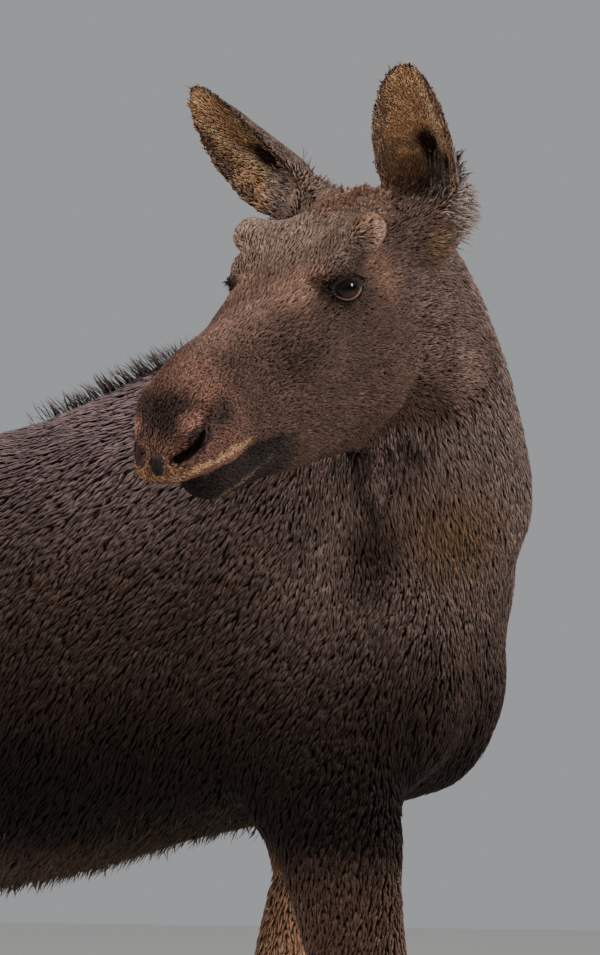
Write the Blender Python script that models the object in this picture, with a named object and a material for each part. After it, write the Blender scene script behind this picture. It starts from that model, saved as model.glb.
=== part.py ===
"""Young bull moose (Alces alces), life size, standing with its head turned back over its right side.

Frame: metres, +Z up, origin on the floor under the middle of the bounding box. The trunk points along +X,
the animal's left is +Y. The body is modelled whole from lofts and muscle masses, melted into one skin by a
voxel remesh, thinned to facets and then parted with thin saw cuts into the pieces that a person would name.
"""

import math

import bmesh
import bpy
import numpy as np
from mathutils import Matrix, Vector

# ---- Driving dimensions -------------------------------------------------------------------------------
WITHERS = 1.405  # height of the withers over the coat
HEAD_YAW = -114.0  # degrees from the trunk's heading to the head's
HEAD_PITCH = 24.7  # degrees that the bridge of the nose points below the horizon
HEAD_ROLL = 1.0
POLL = Vector((0.100, -0.188, 1.562))  # top of the head between the ears, the head's own origin
EYE_RADIUS = 0.0195
EYE_AT = Vector((0.1615, 0.0585, -0.0385))  # in the head's frame, left side
SAW = 0.0004  # width of the cuts that part the body
SEAT = 0.0005  # gap round a piece that is let into the body
VOXEL = 0.0055
BODY_FACETS, HEAD_FACETS = 1900, 2150
SOLE_LEVEL = 0.0

# ---- Materials ----------------------------------------------------------------------------------------
FINISHES = {
    "coat": ((0.105, 0.075, 0.062), 0.85),
    "ear": ((0.20, 0.14, 0.095), 0.85),
    "leg": ((0.16, 0.12, 0.095), 0.85),
    "eye": ((0.015, 0.010, 0.008), 0.12),
    "hoof": ((0.035, 0.028, 0.024), 0.45),
}


def material(name):
    colour, roughness = FINISHES[name]
    made = bpy.data.materials.get(name) or bpy.data.materials.new(name)
    made.use_nodes = True
    shader = made.node_tree.nodes["Principled BSDF"]
    shader.inputs["Base Color"].default_value = (*colour, 1.0)
    shader.inputs["Roughness"].default_value = roughness
    shader.inputs["Metallic"].default_value = 0.0
    return made


# ---- Making meshes ------------------------------------------------------------------------------------
def new_object(name, mesh):
    made = bpy.data.objects.new(name, mesh)
    bpy.context.scene.collection.objects.link(made)
    return made


def object_of(name, bm):
    bmesh.ops.recalc_face_normals(bm, faces=bm.faces)
    bmesh.ops.triangulate(bm, faces=bm.faces)  # so that a seat grown from a bent face has the same two halves
    mesh = bpy.data.meshes.new(name)
    bm.to_mesh(mesh)
    bm.free()
    return new_object(name, mesh)


def curve_through(knots):
    """A smooth curve through (place, value...) knots with no overshoot, as a function of the place."""
    table = np.array(knots, float)
    places, values = table[:, 0], table[:, 1:]
    if places[0] > places[-1]:
        places, values = places[::-1], values[::-1]
    steps = np.diff(places)[:, None]
    slopes = np.diff(values, axis=0) / steps
    tangents = np.zeros_like(values)
    flat = slopes[:-1] * slopes[1:] <= 0
    with np.errstate(divide="ignore", invalid="ignore"):
        mean = 2 * slopes[:-1] * slopes[1:] / (slopes[:-1] + slopes[1:])
    tangents[1:-1] = np.where(flat, 0.0, mean)
    tangents[0], tangents[-1] = slopes[0], slopes[-1]

    def value(place):
        i = int(np.clip(np.searchsorted(places, place) - 1, 0, len(steps) - 1))
        h = float(steps[i, 0])
        t = min(max((place - places[i]) / h, 0.0), 1.0)
        a, b = (1 + 2 * t) * (1 - t) ** 2, t * t * (3 - 2 * t)
        c, d = t * (1 - t) ** 2, t * t * (t - 1)
        return a * values[i] + b * values[i + 1] + h * (c * tangents[i] + d * tangents[i + 1])

    return value


def loft(name, rings):
    """A closed body through rings of equally many points, each end drawn in to its centre."""
    bm = bmesh.new()
    rows = [[bm.verts.new(p) for p in ring] for ring in rings]
    for a, b in zip(rows, rows[1:]):
        for i in range(len(a)):
            j = (i + 1) % len(a)
            bm.faces.new((a[i], a[j], b[j], b[i]))
    for row in (rows[0], rows[-1]):
        hub = bm.verts.new(sum((v.co for v in row), Vector()) / len(row))
        for i in range(len(row)):
            bm.faces.new((row[i], row[(i + 1) % len(row)], hub))
    return object_of(name, bm)


def oval(across, top, bottom, wide_at, squareness=(2.2, 2.2), points=32):
    """Points (side, height) of an upright section from bottom to top, with its half width at wide_at."""
    ring = []
    for k in range(points):
        turn = 2 * math.pi * k / points
        c, s = math.cos(turn), math.sin(turn)
        power = 2 / (squareness[0] if s >= 0 else squareness[1])
        reach = top - wide_at if s >= 0 else wide_at - bottom
        side = across * math.copysign(abs(c) ** power, c)
        ring.append((side, wide_at + reach * math.copysign(abs(s) ** power, s)))
    return ring


def turned(yaw, pitch, roll=0.0):
    """Rotation of a frame whose +X heads along yaw and dips by pitch, in degrees."""
    return (
        Matrix.Rotation(math.radians(yaw), 3, "Z")
        @ Matrix.Rotation(math.radians(pitch), 3, "Y")
        @ Matrix.Rotation(math.radians(roll), 3, "X")
    )


def ellipsoid(name, centre, radii, rotation=None, fineness=3):
    bm = bmesh.new()
    bmesh.ops.create_icosphere(bm, subdivisions=fineness, radius=1.0)
    turn = rotation or Matrix.Identity(3)
    for v in bm.verts:
        v.co = Vector(centre) + turn @ Vector(c * r for c, r in zip(v.co, radii))
    return object_of(name, bm)


def limb(name, joints, bend=None, points=20, steps=9):
    """A smooth limb through joints (place, half depth, half width); bend is the direction that depth is
    measured in, which is made square to the limb at each ring."""
    line = curve_through([(i, *place, depth, width) for i, (place, depth, width) in enumerate(joints)])
    count = (len(joints) - 1) * steps
    rows = [line(i / steps) for i in range(count + 1)]
    rings = []
    for i, row in enumerate(rows):
        ahead = Vector(rows[min(i + 1, count)][:3]) - Vector(rows[max(i - 1, 0)][:3])
        ahead.normalize()
        depth_way = Vector(bend or (1, 0, 0))
        depth_way = (depth_way - ahead * depth_way.dot(ahead)).normalized()
        width_way = ahead.cross(depth_way)
        ring = []
        for k in range(points):
            turn = 2 * math.pi * k / points
            ring.append(
                Vector(row[:3])
                + depth_way * row[3] * math.cos(turn)
                + width_way * row[4] * math.sin(turn)
            )
        rings.append(ring)
    return loft(name, rings)


def apply_modifiers(obj):
    graph = bpy.context.evaluated_depsgraph_get()
    mesh = bpy.data.meshes.new_from_object(obj.evaluated_get(graph))
    obj.modifiers.clear()
    old, obj.data = obj.data, mesh
    bpy.data.meshes.remove(old)
    return obj


def cut(obj, cutter, keep_cutter=False):
    """Takes the cutter's volume out of the object."""
    boolean = obj.modifiers.new("cut", "BOOLEAN")
    boolean.operation = "DIFFERENCE"
    boolean.solver = "EXACT"
    boolean.object = cutter
    bpy.context.view_layer.update()
    apply_modifiers(obj)
    if not keep_cutter:
        bpy.data.objects.remove(cutter)
    return obj


def grown(obj, by):
    """A copy of a piece that is larger all round, to cut its seat with."""
    bm = bmesh.new()
    bm.from_mesh(obj.data)
    bmesh.ops.recalc_face_normals(bm, faces=bm.faces)
    bm.normal_update()
    moves = {}
    for v in bm.verts:
        # along the mean of its faces' planes, far enough that each plane moves out by the whole step
        way = v.normal.normalized()
        steep = min((way.dot(f.normal) for f in v.link_faces), default=1.0)
        moves[v] = way * by / max(steep, 0.35)
    for v, move in moves.items():
        v.co += move
    return object_of(obj.name + "_seat", bm)


# ---- Trunk --------------------------------------------------------------------------------------------
def trunk_masses():
    """Barrel from brisket to buttocks, with the hump over the withers, the shoulders and the haunches."""
    #         x      top    bottom  half width  widest at
    outline = curve_through([
        (-1.065, 1.150, 1.050, 0.045, 1.10),
        (-1.035, 1.205, 0.985, 0.095, 1.09),
        (-0.96, 1.268, 0.935, 0.150, 1.08),
        (-0.86, 1.303, 0.900, 0.183, 1.07),
        (-0.76, 1.308, 0.868, 0.198, 1.06),
        (-0.66, 1.298, 0.822, 0.213, 1.04),
        (-0.55, 1.290, 0.780, 0.226, 1.02),
        (-0.44, 1.290, 0.767, 0.230, 1.01),
        (-0.34, 1.303, 0.776, 0.222, 1.02),
        (-0.24, 1.340, 0.796, 0.203, 1.04),
        (-0.14, 1.392, 0.826, 0.182, 1.05),
        (-0.04, WITHERS, 0.850, 0.165, 1.06),
        (0.06, 1.385, 0.862, 0.150, 1.07),
        (0.14, 1.310, 0.880, 0.130, 1.06),
        (0.20, 1.220, 0.930, 0.098, 1.05),
        (0.235, 1.140, 0.985, 0.055, 1.04),
    ])
    rings = []
    for x in np.linspace(-1.065, 0.235, 44):
        top, bottom, across, widest = outline(x)
        hump = math.exp(-(((x + 0.03) / 0.17) ** 2))
        square = (2.25 - 0.65 * hump, 2.35)
        rings.append([(x, y, z) for y, z in oval(across, top, bottom, widest, square)])
    made = [loft("barrel", rings)]
    made += [
        ellipsoid("brisket", (0.165, 0, 0.995), (0.078, 0.052, 0.115), turned(0, 12)),
        ellipsoid("breast", (0.152, 0.015, 1.135), (0.100, 0.100, 0.125)),
    ]
    for side in (1, -1):
        forward = 0.0 if side < 0 else -0.015
        lean = turned(4 * side, -24)
        made += [
            ellipsoid("blade", (0.02 + forward, 0.086 * side, 1.165), (0.085, 0.046, 0.185), lean),
            ellipsoid("shoulder", (0.118 + forward, 0.104 * side, 1.020), (0.096, 0.060, 0.135)),
            ellipsoid("upper_arm", (0.035 + forward, 0.120 * side, 0.965), (0.110, 0.055, 0.120)),
            ellipsoid("haunch", (-0.86, 0.105 * side, 1.085), (0.175, 0.092, 0.180), turned(0, 20)),
            ellipsoid("hip", (-0.74, 0.115 * side, 1.215), (0.075, 0.060, 0.060)),
            ellipsoid("buttock", (-0.955, 0.076 * side, 1.06), (0.090, 0.064, 0.125)),
        ]
    return made


# ---- Legs ---------------------------------------------------------------------------------------------
FORELEG_SIDE, HINDLEG_SIDE = 0.118, 0.118
FORE_FOOT = {1: -0.100, -1: 0.140}  # where each fore fetlock stands along X; the right one is ahead
HIND_FOOT = {1: -0.800, -1: -0.955}


def foreleg_masses(side):
    foot, half = FORE_FOOT[side], FORELEG_SIDE
    elbow = 0.045 if side < 0 else -0.020
    knee = elbow + 0.62 * (foot - elbow)

    def place(x, y, z):
        return (x, y * side, z)

    return [
        limb(f"foreleg{side}", [
            (place(elbow - 0.005, half + 0.012, 0.995), 0.085, 0.050),
            (place(elbow + 0.012, half + 0.016, 0.895), 0.082, 0.054),
            (place(elbow + 0.028, half + 0.014, 0.800), 0.068, 0.052),
            (place(elbow + 0.30 * (foot - elbow) + 0.020, half + 0.008, 0.680), 0.056, 0.047),
            (place(knee + 0.010, half + 0.002, 0.545), 0.044, 0.040),
            (place(knee + 0.012, half, 0.465), 0.046, 0.043),
            (place(knee + 0.006, half, 0.415), 0.041, 0.039),
            (place(knee + 0.45 * (foot - knee), half, 0.300), 0.033, 0.030),
            (place(foot - 0.004, half, 0.190), 0.034, 0.030),
            (place(foot, half, 0.150), 0.041, 0.035),
            (place(foot + 0.020, half, 0.105), 0.033, 0.032),
            (place(foot + 0.035, half, 0.072), 0.037, 0.036),
            (place(foot + 0.030, half, 0.046), 0.030, 0.035),
        ]),
        ellipsoid("elbow", place(elbow - 0.052, half + 0.010, 0.892), (0.042, 0.034, 0.058)),
        ellipsoid("forearm", place(elbow + 0.040, half + 0.020, 0.845), (0.062, 0.048, 0.105)),
    ]


def hindleg_masses(side):
    foot, half = HIND_FOOT[side], HINDLEG_SIDE
    lean = foot - HIND_FOOT[-1]
    hock = foot - 0.030
    stifle = -0.700 + 0.40 * lean

    def place(x, y, z):
        return (x, y * side, z)

    def gaskin(z):
        """Where the leg's middle stands at a height between the hock and the stifle."""
        return hock + (stifle - 0.110 - hock) * (z - 0.548) / 0.257

    return [
        limb(f"hindleg{side}", [
            (place(-0.865, half - 0.020, 1.150), 0.165, 0.070),
            (place(-0.835 + 0.15 * lean, half + 0.008, 1.010), 0.165, 0.074),
            (place(stifle - 0.100, half + 0.018, 0.900), 0.138, 0.068),
            (place(stifle - 0.110, half + 0.014, 0.805), 0.102, 0.058),
            (place(gaskin(0.710), half + 0.006, 0.710), 0.073, 0.046),
            (place(gaskin(0.620), half, 0.620), 0.056, 0.038),
            (place(hock + 0.004, half, 0.548), 0.048, 0.036),
            (place(hock + 0.006, half, 0.490), 0.043, 0.036),
            (place(hock + 0.012, half, 0.420), 0.036, 0.031),
            (place(hock + 0.4 * (foot - hock) + 0.006, half, 0.300), 0.032, 0.029),
            (place(foot - 0.002, half, 0.190), 0.034, 0.030),
            (place(foot, half, 0.150), 0.041, 0.035),
            (place(foot + 0.020, half, 0.105), 0.033, 0.032),
            (place(foot + 0.035, half, 0.072), 0.037, 0.036),
            (place(foot + 0.030, half, 0.046), 0.030, 0.035),
        ]),
        ellipsoid("stifle", place(stifle - 0.020, half + 0.022, 0.885), (0.060, 0.044, 0.080)),
        ellipsoid("flank", place(stifle + 0.010, half - 0.005, 0.960), (0.080, 0.060, 0.110)),
        ellipsoid("point_of_hock", place(hock - 0.034, half, 0.570), (0.022, 0.018, 0.042), turned(0, -8)),
        limb("heel_string", [
            (place(hock - 0.034, half, 0.580), 0.014, 0.012),
            (place(gaskin(0.670) - 0.044, half, 0.670), 0.018, 0.018),
            (place(gaskin(0.780) - 0.050, half + 0.008, 0.780), 0.034, 0.030),
        ]),
    ]


# ---- Head, modelled in its own frame: +X to the nose, +Y to its left, origin at the poll ----------------
HEAD = Matrix.Translation(POLL) @ turned(HEAD_YAW, HEAD_PITCH, HEAD_ROLL).to_4x4()


def on_head(place):
    return HEAD @ Vector(place)


def skull_masses():
    """The head from poll to cheeks, the muzzle over the mouth, the chin, and the masses that stand out."""
    #        x      top     bottom  half width  widest at  squareness over, under
    head = curve_through([
        (-0.075, -0.050, -0.150, 0.038, -0.090, 2.0, 2.0),
        (-0.050, -0.008, -0.200, 0.060, -0.080, 2.1, 2.0),
        (-0.010, 0.011, -0.232, 0.068, -0.075, 2.2, 1.9),
        (0.050, 0.017, -0.250, 0.071, -0.072, 2.3, 1.8),
        (0.110, 0.013, -0.256, 0.074, -0.066, 2.3, 1.75),
        (0.165, 0.000, -0.245, 0.076, -0.068, 2.4, 1.8),
        (0.215, -0.013, -0.231, 0.072, -0.078, 2.5, 1.85),
        (0.265, -0.020, -0.220, 0.063, -0.088, 2.5, 1.85),
        (0.310, -0.024, -0.205, 0.052, -0.098, 2.4, 1.8),
        (0.345, -0.030, -0.168, 0.040, -0.100, 2.4, 1.9),
        (0.365, -0.050, -0.140, 0.020, -0.100, 2.2, 2.0),
    ])
    made = [head_loft("skull", head, -0.075, 0.365, 34)]
    muzzle = curve_through([
        (0.240, -0.022, -0.134, 0.045, -0.092, 2.4, 2.6),
        (0.300, -0.021, -0.136, 0.050, -0.092, 2.4, 2.6),
        (0.350, -0.021, -0.138, 0.050, -0.090, 2.4, 2.7),
        (0.390, -0.024, -0.139, 0.050, -0.094, 2.3, 2.7),
        (0.425, -0.039, -0.139, 0.049, -0.100, 2.2, 2.7),
        (0.452, -0.064, -0.139, 0.047, -0.110, 2.2, 2.7),
        (0.473, -0.092, -0.137, 0.043, -0.118, 2.2, 2.6),
        (0.486, -0.110, -0.133, 0.026, -0.121, 2.0, 2.2),
    ])
    made.append(head_loft("muzzle", muzzle, 0.240, 0.486, 24))
    chin = curve_through([
        (0.260, -0.130, -0.214, 0.034, -0.164, 2.2, 2.0),
        (0.310, -0.128, -0.205, 0.033, -0.162, 2.2, 2.0),
        (0.360, -0.128, -0.194, 0.033, -0.158, 2.2, 2.0),
        (0.400, -0.129, -0.189, 0.031, -0.155, 2.2, 2.0),
        (0.425, -0.131, -0.179, 0.024, -0.152, 2.2, 2.0),
        (0.437, -0.136, -0.164, 0.011, -0.150, 2.0, 2.0),
    ])
    made.append(head_loft("chin", chin, 0.260, 0.437, 16))

    turn = HEAD.to_3x3()
    made += [
        ellipsoid("nose_bridge", on_head((0.375, 0, -0.052)), (0.080, 0.036, 0.030), turn),
        ellipsoid("nose_tip", on_head((0.444, 0, -0.106)), (0.034, 0.042, 0.033), turn),
        ellipsoid("forehead", on_head((0.080, 0, -0.018)), (0.080, 0.060, 0.036), turn),
    ]
    for side in (1, -1):
        out = turn @ turned(12 * side, 6)
        made += [
            ellipsoid("brow", on_head((0.148, 0.060 * side, -0.013)), (0.038, 0.019, 0.015), out),
            ellipsoid("orbit", on_head((0.162, 0.057 * side, -0.039)), (0.039, 0.026, 0.032), out),
            ellipsoid("cheekbone", on_head((0.180, 0.053 * side, -0.080)), (0.095, 0.020, 0.030), out),
            ellipsoid("jowl", on_head((0.105, 0.044 * side, -0.140)), (0.090, 0.030, 0.085), turn),
            ellipsoid("mouth_corner", on_head((0.320, 0.038 * side, -0.126)), (0.045, 0.016, 0.022), turn),
            ellipsoid("nostril_wing", on_head((0.418, 0.033 * side, -0.076)), (0.034, 0.018, 0.032), turn),
            ellipsoid("upper_lip", on_head((0.400, 0.037 * side, -0.122)), (0.062, 0.016, 0.019), turn),
            ellipsoid("ear_root", on_head((-0.022, 0.068 * side, -0.048)), (0.046, 0.042, 0.050), turn),
            ellipsoid("ear_muff", on_head((-0.044, 0.086 * side, -0.032)), (0.038, 0.034, 0.046), turn),
            ellipsoid("bud_stalk", on_head((0.104, 0.060 * side, -0.006)), (0.035, 0.023, 0.022), turn),
        ]
    return made


def head_loft(name, outline, start, end, count):
    rings = []
    for x in np.linspace(start, end, count):
        top, bottom, across, widest, over, under = outline(x)
        section = oval(across, top, bottom, widest, (over, under))
        rings.append([on_head((x, y, z)) for y, z in section])
    return loft(name, rings)


def bell():
    """The small flap of skin that hangs from a young moose's throat."""
    return limb("bell", [
        (on_head((0.098, 0, -0.235)), 0.036, 0.024),
        (on_head((0.117, 0, -0.298)), 0.028, 0.019),
        (on_head((0.127, 0, -0.340)), 0.020, 0.013),
        (on_head((0.130, 0, -0.356)), 0.009, 0.007),
    ], bend=HEAD.to_3x3() @ Vector((1, 0, 0)))


# ---- Neck ---------------------------------------------------------------------------------------------
def neck_masses():
    """Thick and deep at the shoulders, it rises forward, then bends right and twists to meet the head."""
    #      share   x       y       z      crest-to-throat  side    direction of the throat (x, y, z)
    path = curve_through([
        (0.00, -0.010, 0.000, 1.170, 0.205, 0.130, 0.62, 0.00, -0.78),
        (0.22, 0.075, -0.004, 1.225, 0.195, 0.128, 0.75, -0.05, -0.66),
        (0.44, 0.127, -0.030, 1.300, 0.168, 0.122, 0.78, -0.40, -0.48),
        (0.66, 0.140, -0.082, 1.382, 0.138, 0.106, 0.45, -0.80, -0.40),
        (0.84, 0.124, -0.136, 1.450, 0.112, 0.088, -0.10, -0.80, -0.60),
        (1.00, 0.098, -0.195, 1.468, 0.075, 0.060, -0.20, -0.60, -0.78),
    ])
    rings = []
    for share in np.linspace(0, 1, 26):
        row = path(share)
        ahead = Vector(path(min(share + 0.02, 1))[:3]) - Vector(path(max(share - 0.02, 0))[:3])
        ahead.normalize()
        throat = Vector(row[5:8])
        throat = (throat - ahead * throat.dot(ahead)).normalized()
        side = ahead.cross(throat)
        ring = []
        for k in range(32):
            turn = 2 * math.pi * k / 32
            ring.append(
                Vector(row[:3])
                + throat * row[3] * math.cos(turn)
                + side * row[4] * math.sin(turn)
            )
        rings.append(ring)
    return [
        loft("neck_mass", rings),
        ellipsoid("throat_roll", (0.195, -0.035, 1.225), (0.085, 0.085, 0.110)),
    ]


# ---- Pieces let into the head -------------------------------------------------------------------------
EARS = {  # side: (base, tip, where the opening faces, how its middle bows), all in the head's frame
    1: ((-0.003, 0.075, -0.035), (-0.001, 0.104, 0.153), (0.93, 0.17, 0.10), (0.002, -0.005, 0.0)),
    -1: ((0.001, -0.088, -0.024), (-0.019, -0.202, 0.134), (0.95, -0.24, -0.14), (0.005, -0.006, -0.004)),
}


def ear(side):
    """A leaf of gristle: a tube at its root that opens to a deep trough and closes to a rounded tip."""
    base, tip, facing, bow = (Vector(v) for v in EARS[side])
    along = tip - base
    length = along.length
    along.normalize()
    facing = (facing - along * facing.dot(along)).normalized()
    across = along.cross(facing)
    #        share  half width  depth behind, depth before
    leaf = curve_through([
        (-0.12, 0.022, 0.026, 0.016), (0.00, 0.032, 0.044, 0.021), (0.15, 0.0385, 0.051, 0.017),
        (0.32, 0.0435, 0.048, 0.010), (0.50, 0.0450, 0.036, 0.005), (0.68, 0.0415, 0.022, 0.003),
        (0.84, 0.0315, 0.011, 0.002), (0.94, 0.0190, 0.007, 0.002), (1.00, 0.0050, 0.003, 0.002),
    ])

    def ring(share, wide, behind, before):
        centre = base + along * (share * length) + bow * (4 * share * (1 - share))
        points = []
        for k in range(10):
            turn = 2 * math.pi * k / 10
            depth = (before if math.sin(turn) > 0 else behind) * math.sin(turn)
            points.append(on_head(centre + across * (wide * math.cos(turn)) + facing * depth))
        return points

    outer = [ring(share, *leaf(share)) for share in np.linspace(-0.12, 1.0, 8)]
    hollow = []
    for share in np.linspace(0.08, 0.965, 7):
        wide, behind, before = leaf(share)
        opened = min(1.0, 0.40 + (share - 0.08) * 3.0)
        wall = min(0.0055, 0.7 * behind)
        hollow.append(ring(share, max(wide - 0.004, 0.002) * opened, behind - wall, before + 0.02))
    cup = loft("ear_hollow", hollow)
    return cut(loft("ear_right" if side < 0 else "ear_left", outer), cup, keep_cutter=True), cup


def eye(side):
    bm = bmesh.new()
    bmesh.ops.create_uvsphere(bm, u_segments=10, v_segments=6, radius=EYE_RADIUS)
    centre = Vector((EYE_AT.x, EYE_AT.y * side, EYE_AT.z))
    bmesh.ops.transform(bm, matrix=HEAD @ Matrix.Translation(centre), verts=bm.verts)
    return object_of("eye_right" if side < 0 else "eye_left", bm)


def eye_opening(side):
    """What parts the lids: an almond, longer than high, that dips toward the nose."""
    swing = turned(-22 * side, 0)
    turn = HEAD.to_3x3() @ swing @ Matrix.Rotation(math.radians(8 * side), 3, "Y")
    outward = swing @ Vector((0, side, 0))
    centre = Vector((EYE_AT.x, EYE_AT.y * side, EYE_AT.z)) + outward * (EYE_RADIUS + 0.002)
    return ellipsoid("eye_opening", on_head(centre), (0.0190, 0.013, 0.0140), turn, 2)


def antler_bud(side):
    """A knob of young antler, still in its fur, on the stalk behind and over the eye."""
    base, tip = on_head((0.104, 0.052 * side, -0.018)), on_head((0.112, 0.083 * side, 0.005))
    return limb("antler_bud_right" if side < 0 else "antler_bud_left", [
        (base, 0.024, 0.021),
        (base.lerp(tip, 0.6), 0.0275, 0.0235),
        (tip, 0.0245, 0.0210),
        (tip + (tip - base).normalized() * 0.012, 0.0130, 0.0110),
    ], bend=HEAD.to_3x3() @ Vector((1, 0, 0)), points=10, steps=1)


# ---- Feet ---------------------------------------------------------------------------------------------
LEGS = {
    "fore_right": (FORE_FOOT, FORELEG_SIDE, -1),
    "fore_left": (FORE_FOOT, FORELEG_SIDE, 1),
    "hind_right": (HIND_FOOT, HINDLEG_SIDE, -1),
    "hind_left": (HIND_FOOT, HINDLEG_SIDE, 1),
}


def claw(name, at, turn, outer):
    """One pointed half of a cloven hoof with a flat sole: longest below, leaning back up to the coronet."""
    #   height  back    front   half width
    shape = [
        (0.000, -0.046, 0.066, 0.0200), (0.014, -0.047, 0.062, 0.0204),
        (0.048, -0.041, 0.035, 0.0183), (0.082, -0.031, 0.007, 0.0135),
    ]
    rings = []
    for height, back, front, half in shape:
        ring = []
        middle, reach = (back + front) / 2, (front - back) / 2
        for k in range(8):
            c, s = math.cos(math.pi * k / 4), math.sin(math.pi * k / 4)
            ahead = max(0.0, c)
            side = half * s * (1 - 0.45 * ahead**1.7) - outer * 0.006 * ahead
            ring.append(Vector(at) + turn @ Vector((middle + reach * c, side + outer * 0.0207, height)))
        rings.append(ring)
    return loft(name, rings)


def dewclaw(name, at, turn, outer):
    base = Vector(at) + turn @ Vector((-0.026, outer * 0.017, 0.120))
    tip = base + turn @ Vector((-0.024, outer * 0.006, -0.036))
    return limb(name, [
        (base, 0.011, 0.010), (base.lerp(tip, 0.5), 0.013, 0.011), (tip, 0.006, 0.005),
    ], points=6, steps=1)


def feet():
    claws = []
    for leg, (foot, half, side) in LEGS.items():
        at = (foot[side] + 0.040, half * side, SOLE_LEVEL)
        for which, outer in (("inner", -side), ("outer", side)):
            turn = Matrix.Rotation(math.radians(2.5 * outer), 3, "Z")
            claws.append(claw(f"claw_{leg}_{which}", at, turn, outer))
            claws.append(dewclaw(f"dewclaw_{leg}_{which}", (foot[side], half * side, 0), turn, outer))
    return claws


def tail():
    return limb("tail", [
        ((-0.975, 0.0, 1.228), 0.030, 0.032),
        ((-1.040, 0.0, 1.198), 0.026, 0.030),
        ((-1.069, 0.0, 1.142), 0.020, 0.026),
        ((-1.070, 0.0, 1.092), 0.009, 0.013),
    ], points=8, steps=1)


# ---- Whole body ---------------------------------------------------------------------------------------
def joined(name, pieces):
    bm = bmesh.new()
    for piece in pieces:
        bm.from_mesh(piece.data)
        bpy.data.objects.remove(piece)
    mesh = bpy.data.meshes.new(name)
    bm.to_mesh(mesh)
    bm.free()
    return new_object(name, mesh)


def melted(obj, voxel, rounds):
    """All the masses as one closed skin, with the creases between them eased."""
    remesh = obj.modifiers.new("melt", "REMESH")
    remesh.mode = "VOXEL"
    remesh.voxel_size = voxel
    ease = obj.modifiers.new("ease", "SMOOTH")
    ease.factor = 0.5
    ease.iterations = rounds
    return apply_modifiers(obj)


def places_of(mesh):
    places = np.empty(len(mesh.vertices) * 3)
    mesh.vertices.foreach_get("co", places)
    return places.reshape(-1, 3)


def press(mesh, centre, radii, move, turn=None):
    """Moves the skin near a point by up to move, as a thumb would, fading out over an oval of these radii."""
    places = places_of(mesh)
    turn = np.array(turn or Matrix.Identity(3))
    away = ((places - np.array(centre)) @ turn) / np.array(radii)
    strength = np.clip(1 - (away**2).sum(axis=1), 0, None) ** 2
    places += strength[:, None] * np.array(move)
    mesh.vertices.foreach_set("co", places.ravel())


def model_face(mesh):
    """Hollows that no added mass can make: before the eyes, in the temples and at the nostrils."""
    turn = HEAD.to_3x3()
    for side in (1, -1):
        inward = turn @ Vector((0, -side, 0))
        press(mesh, on_head((0.200, 0.070 * side, -0.046)), (0.026, 0.040, 0.020), inward * 0.006, turn)
        press(mesh, on_head((0.085, 0.072 * side, -0.050)), (0.042, 0.040, 0.028), inward * 0.006, turn)
        into_nostril = turn @ Vector((-0.7, -0.7 * side, 0.0))
        press(mesh, on_head((0.468, 0.031 * side, -0.101)), (0.022, 0.022, 0.016), into_nostril * 0.011, turn)
        press(mesh, on_head((0.446, 0.048 * side, -0.080)), (0.024, 0.022, 0.014), into_nostril * 0.006, turn)


def flesh(name, masses, rough_rounds, even=None):
    """Melts masses into one skin; even(place) says where it is eased much more, from 0 to 1."""
    made = melted(joined(name, masses), VOXEL, rough_rounds)
    if even:
        group = made.vertex_groups.new(name="even")
        for i, place in enumerate(places_of(made.data)):
            group.add([i], even(place), "REPLACE")
        ease = made.modifiers.new("even", "SMOOTH")
        ease.factor, ease.iterations, ease.vertex_group = 0.5, 110, "even"
        apply_modifiers(made)
        made.vertex_groups.clear()
    return made


def thinned(obj, triangles):
    thin = obj.modifiers.new("thin", "DECIMATE")
    thin.ratio = triangles / sum(len(p.vertices) - 2 for p in obj.data.polygons)
    thin.use_collapse_triangulate = True
    return apply_modifiers(obj)


# ---- Parting the body ---------------------------------------------------------------------------------
def saw(centre, normal, reach):
    """A thin plate that cuts right through; reach is its half size across Y and along the cut's slope."""
    bm = bmesh.new()
    bmesh.ops.create_cube(bm, size=2.0)
    normal = Vector(normal).normalized()
    slope = normal.cross(Vector((0, 1, 0))).normalized()
    across = slope.cross(normal)
    for v in bm.verts:
        x, y, z = v.co.x * reach[0], v.co.y * reach[1], v.co.z * SAW / 2
        v.co = Vector(centre) + across * x + slope * y + normal * z
    return object_of("saw", bm)


def leg_cuts(foot, side):
    """Whether it is a foreleg, and how far along X its upper cut and its cut below the knee or hock stand."""
    fore = foot is FORE_FOOT
    if fore:
        return fore, (0.045 if side < 0 else -0.020), 0.6 * foot[side]
    return fore, -0.81, foot[side] - 0.02


def saws():
    """The cuts' centres, normals and reaches."""
    yield (0.100, 0, 1.260), (0.80, -0.10, 0.60), (0.30, 0.33)  # base of the neck
    yield (-0.170, 0, 1.10), (1, 0, 0), (0.30, 0.40)  # behind the shoulders
    yield (-0.560, 0, 1.05), (1, 0, 0), (0.30, 0.40)  # before the haunches
    for foot, half, side in LEGS.values():
        _, top, knee = leg_cuts(foot, side)
        yield (top, (half + 0.015) * side, 0.795), (0, 0, 1), (0.085, 0.17)
        yield (knee, half * side, 0.400), (0, 0, 1), (0.07, 0.14)


def landmarks():
    """A point well inside each piece that the saws leave, by the piece's name."""
    marks = {
        "neck": (0.14, -0.06, 1.35),
        "trunk_fore": (0.02, 0, 1.08),
        "trunk_middle": (-0.36, 0, 1.04),
        "trunk_hind": (-0.78, 0, 1.06),
    }
    for leg, (foot, half, side) in LEGS.items():
        fore, top, _ = leg_cuts(foot, side)
        marks[f"{'forearm' if fore else 'gaskin'}_{leg}"] = ((top + foot[side]) / 2, half * side, 0.60)
        marks[f"shank_{leg}"] = (foot[side] + 0.01, half * side, 0.23)
    return marks


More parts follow.
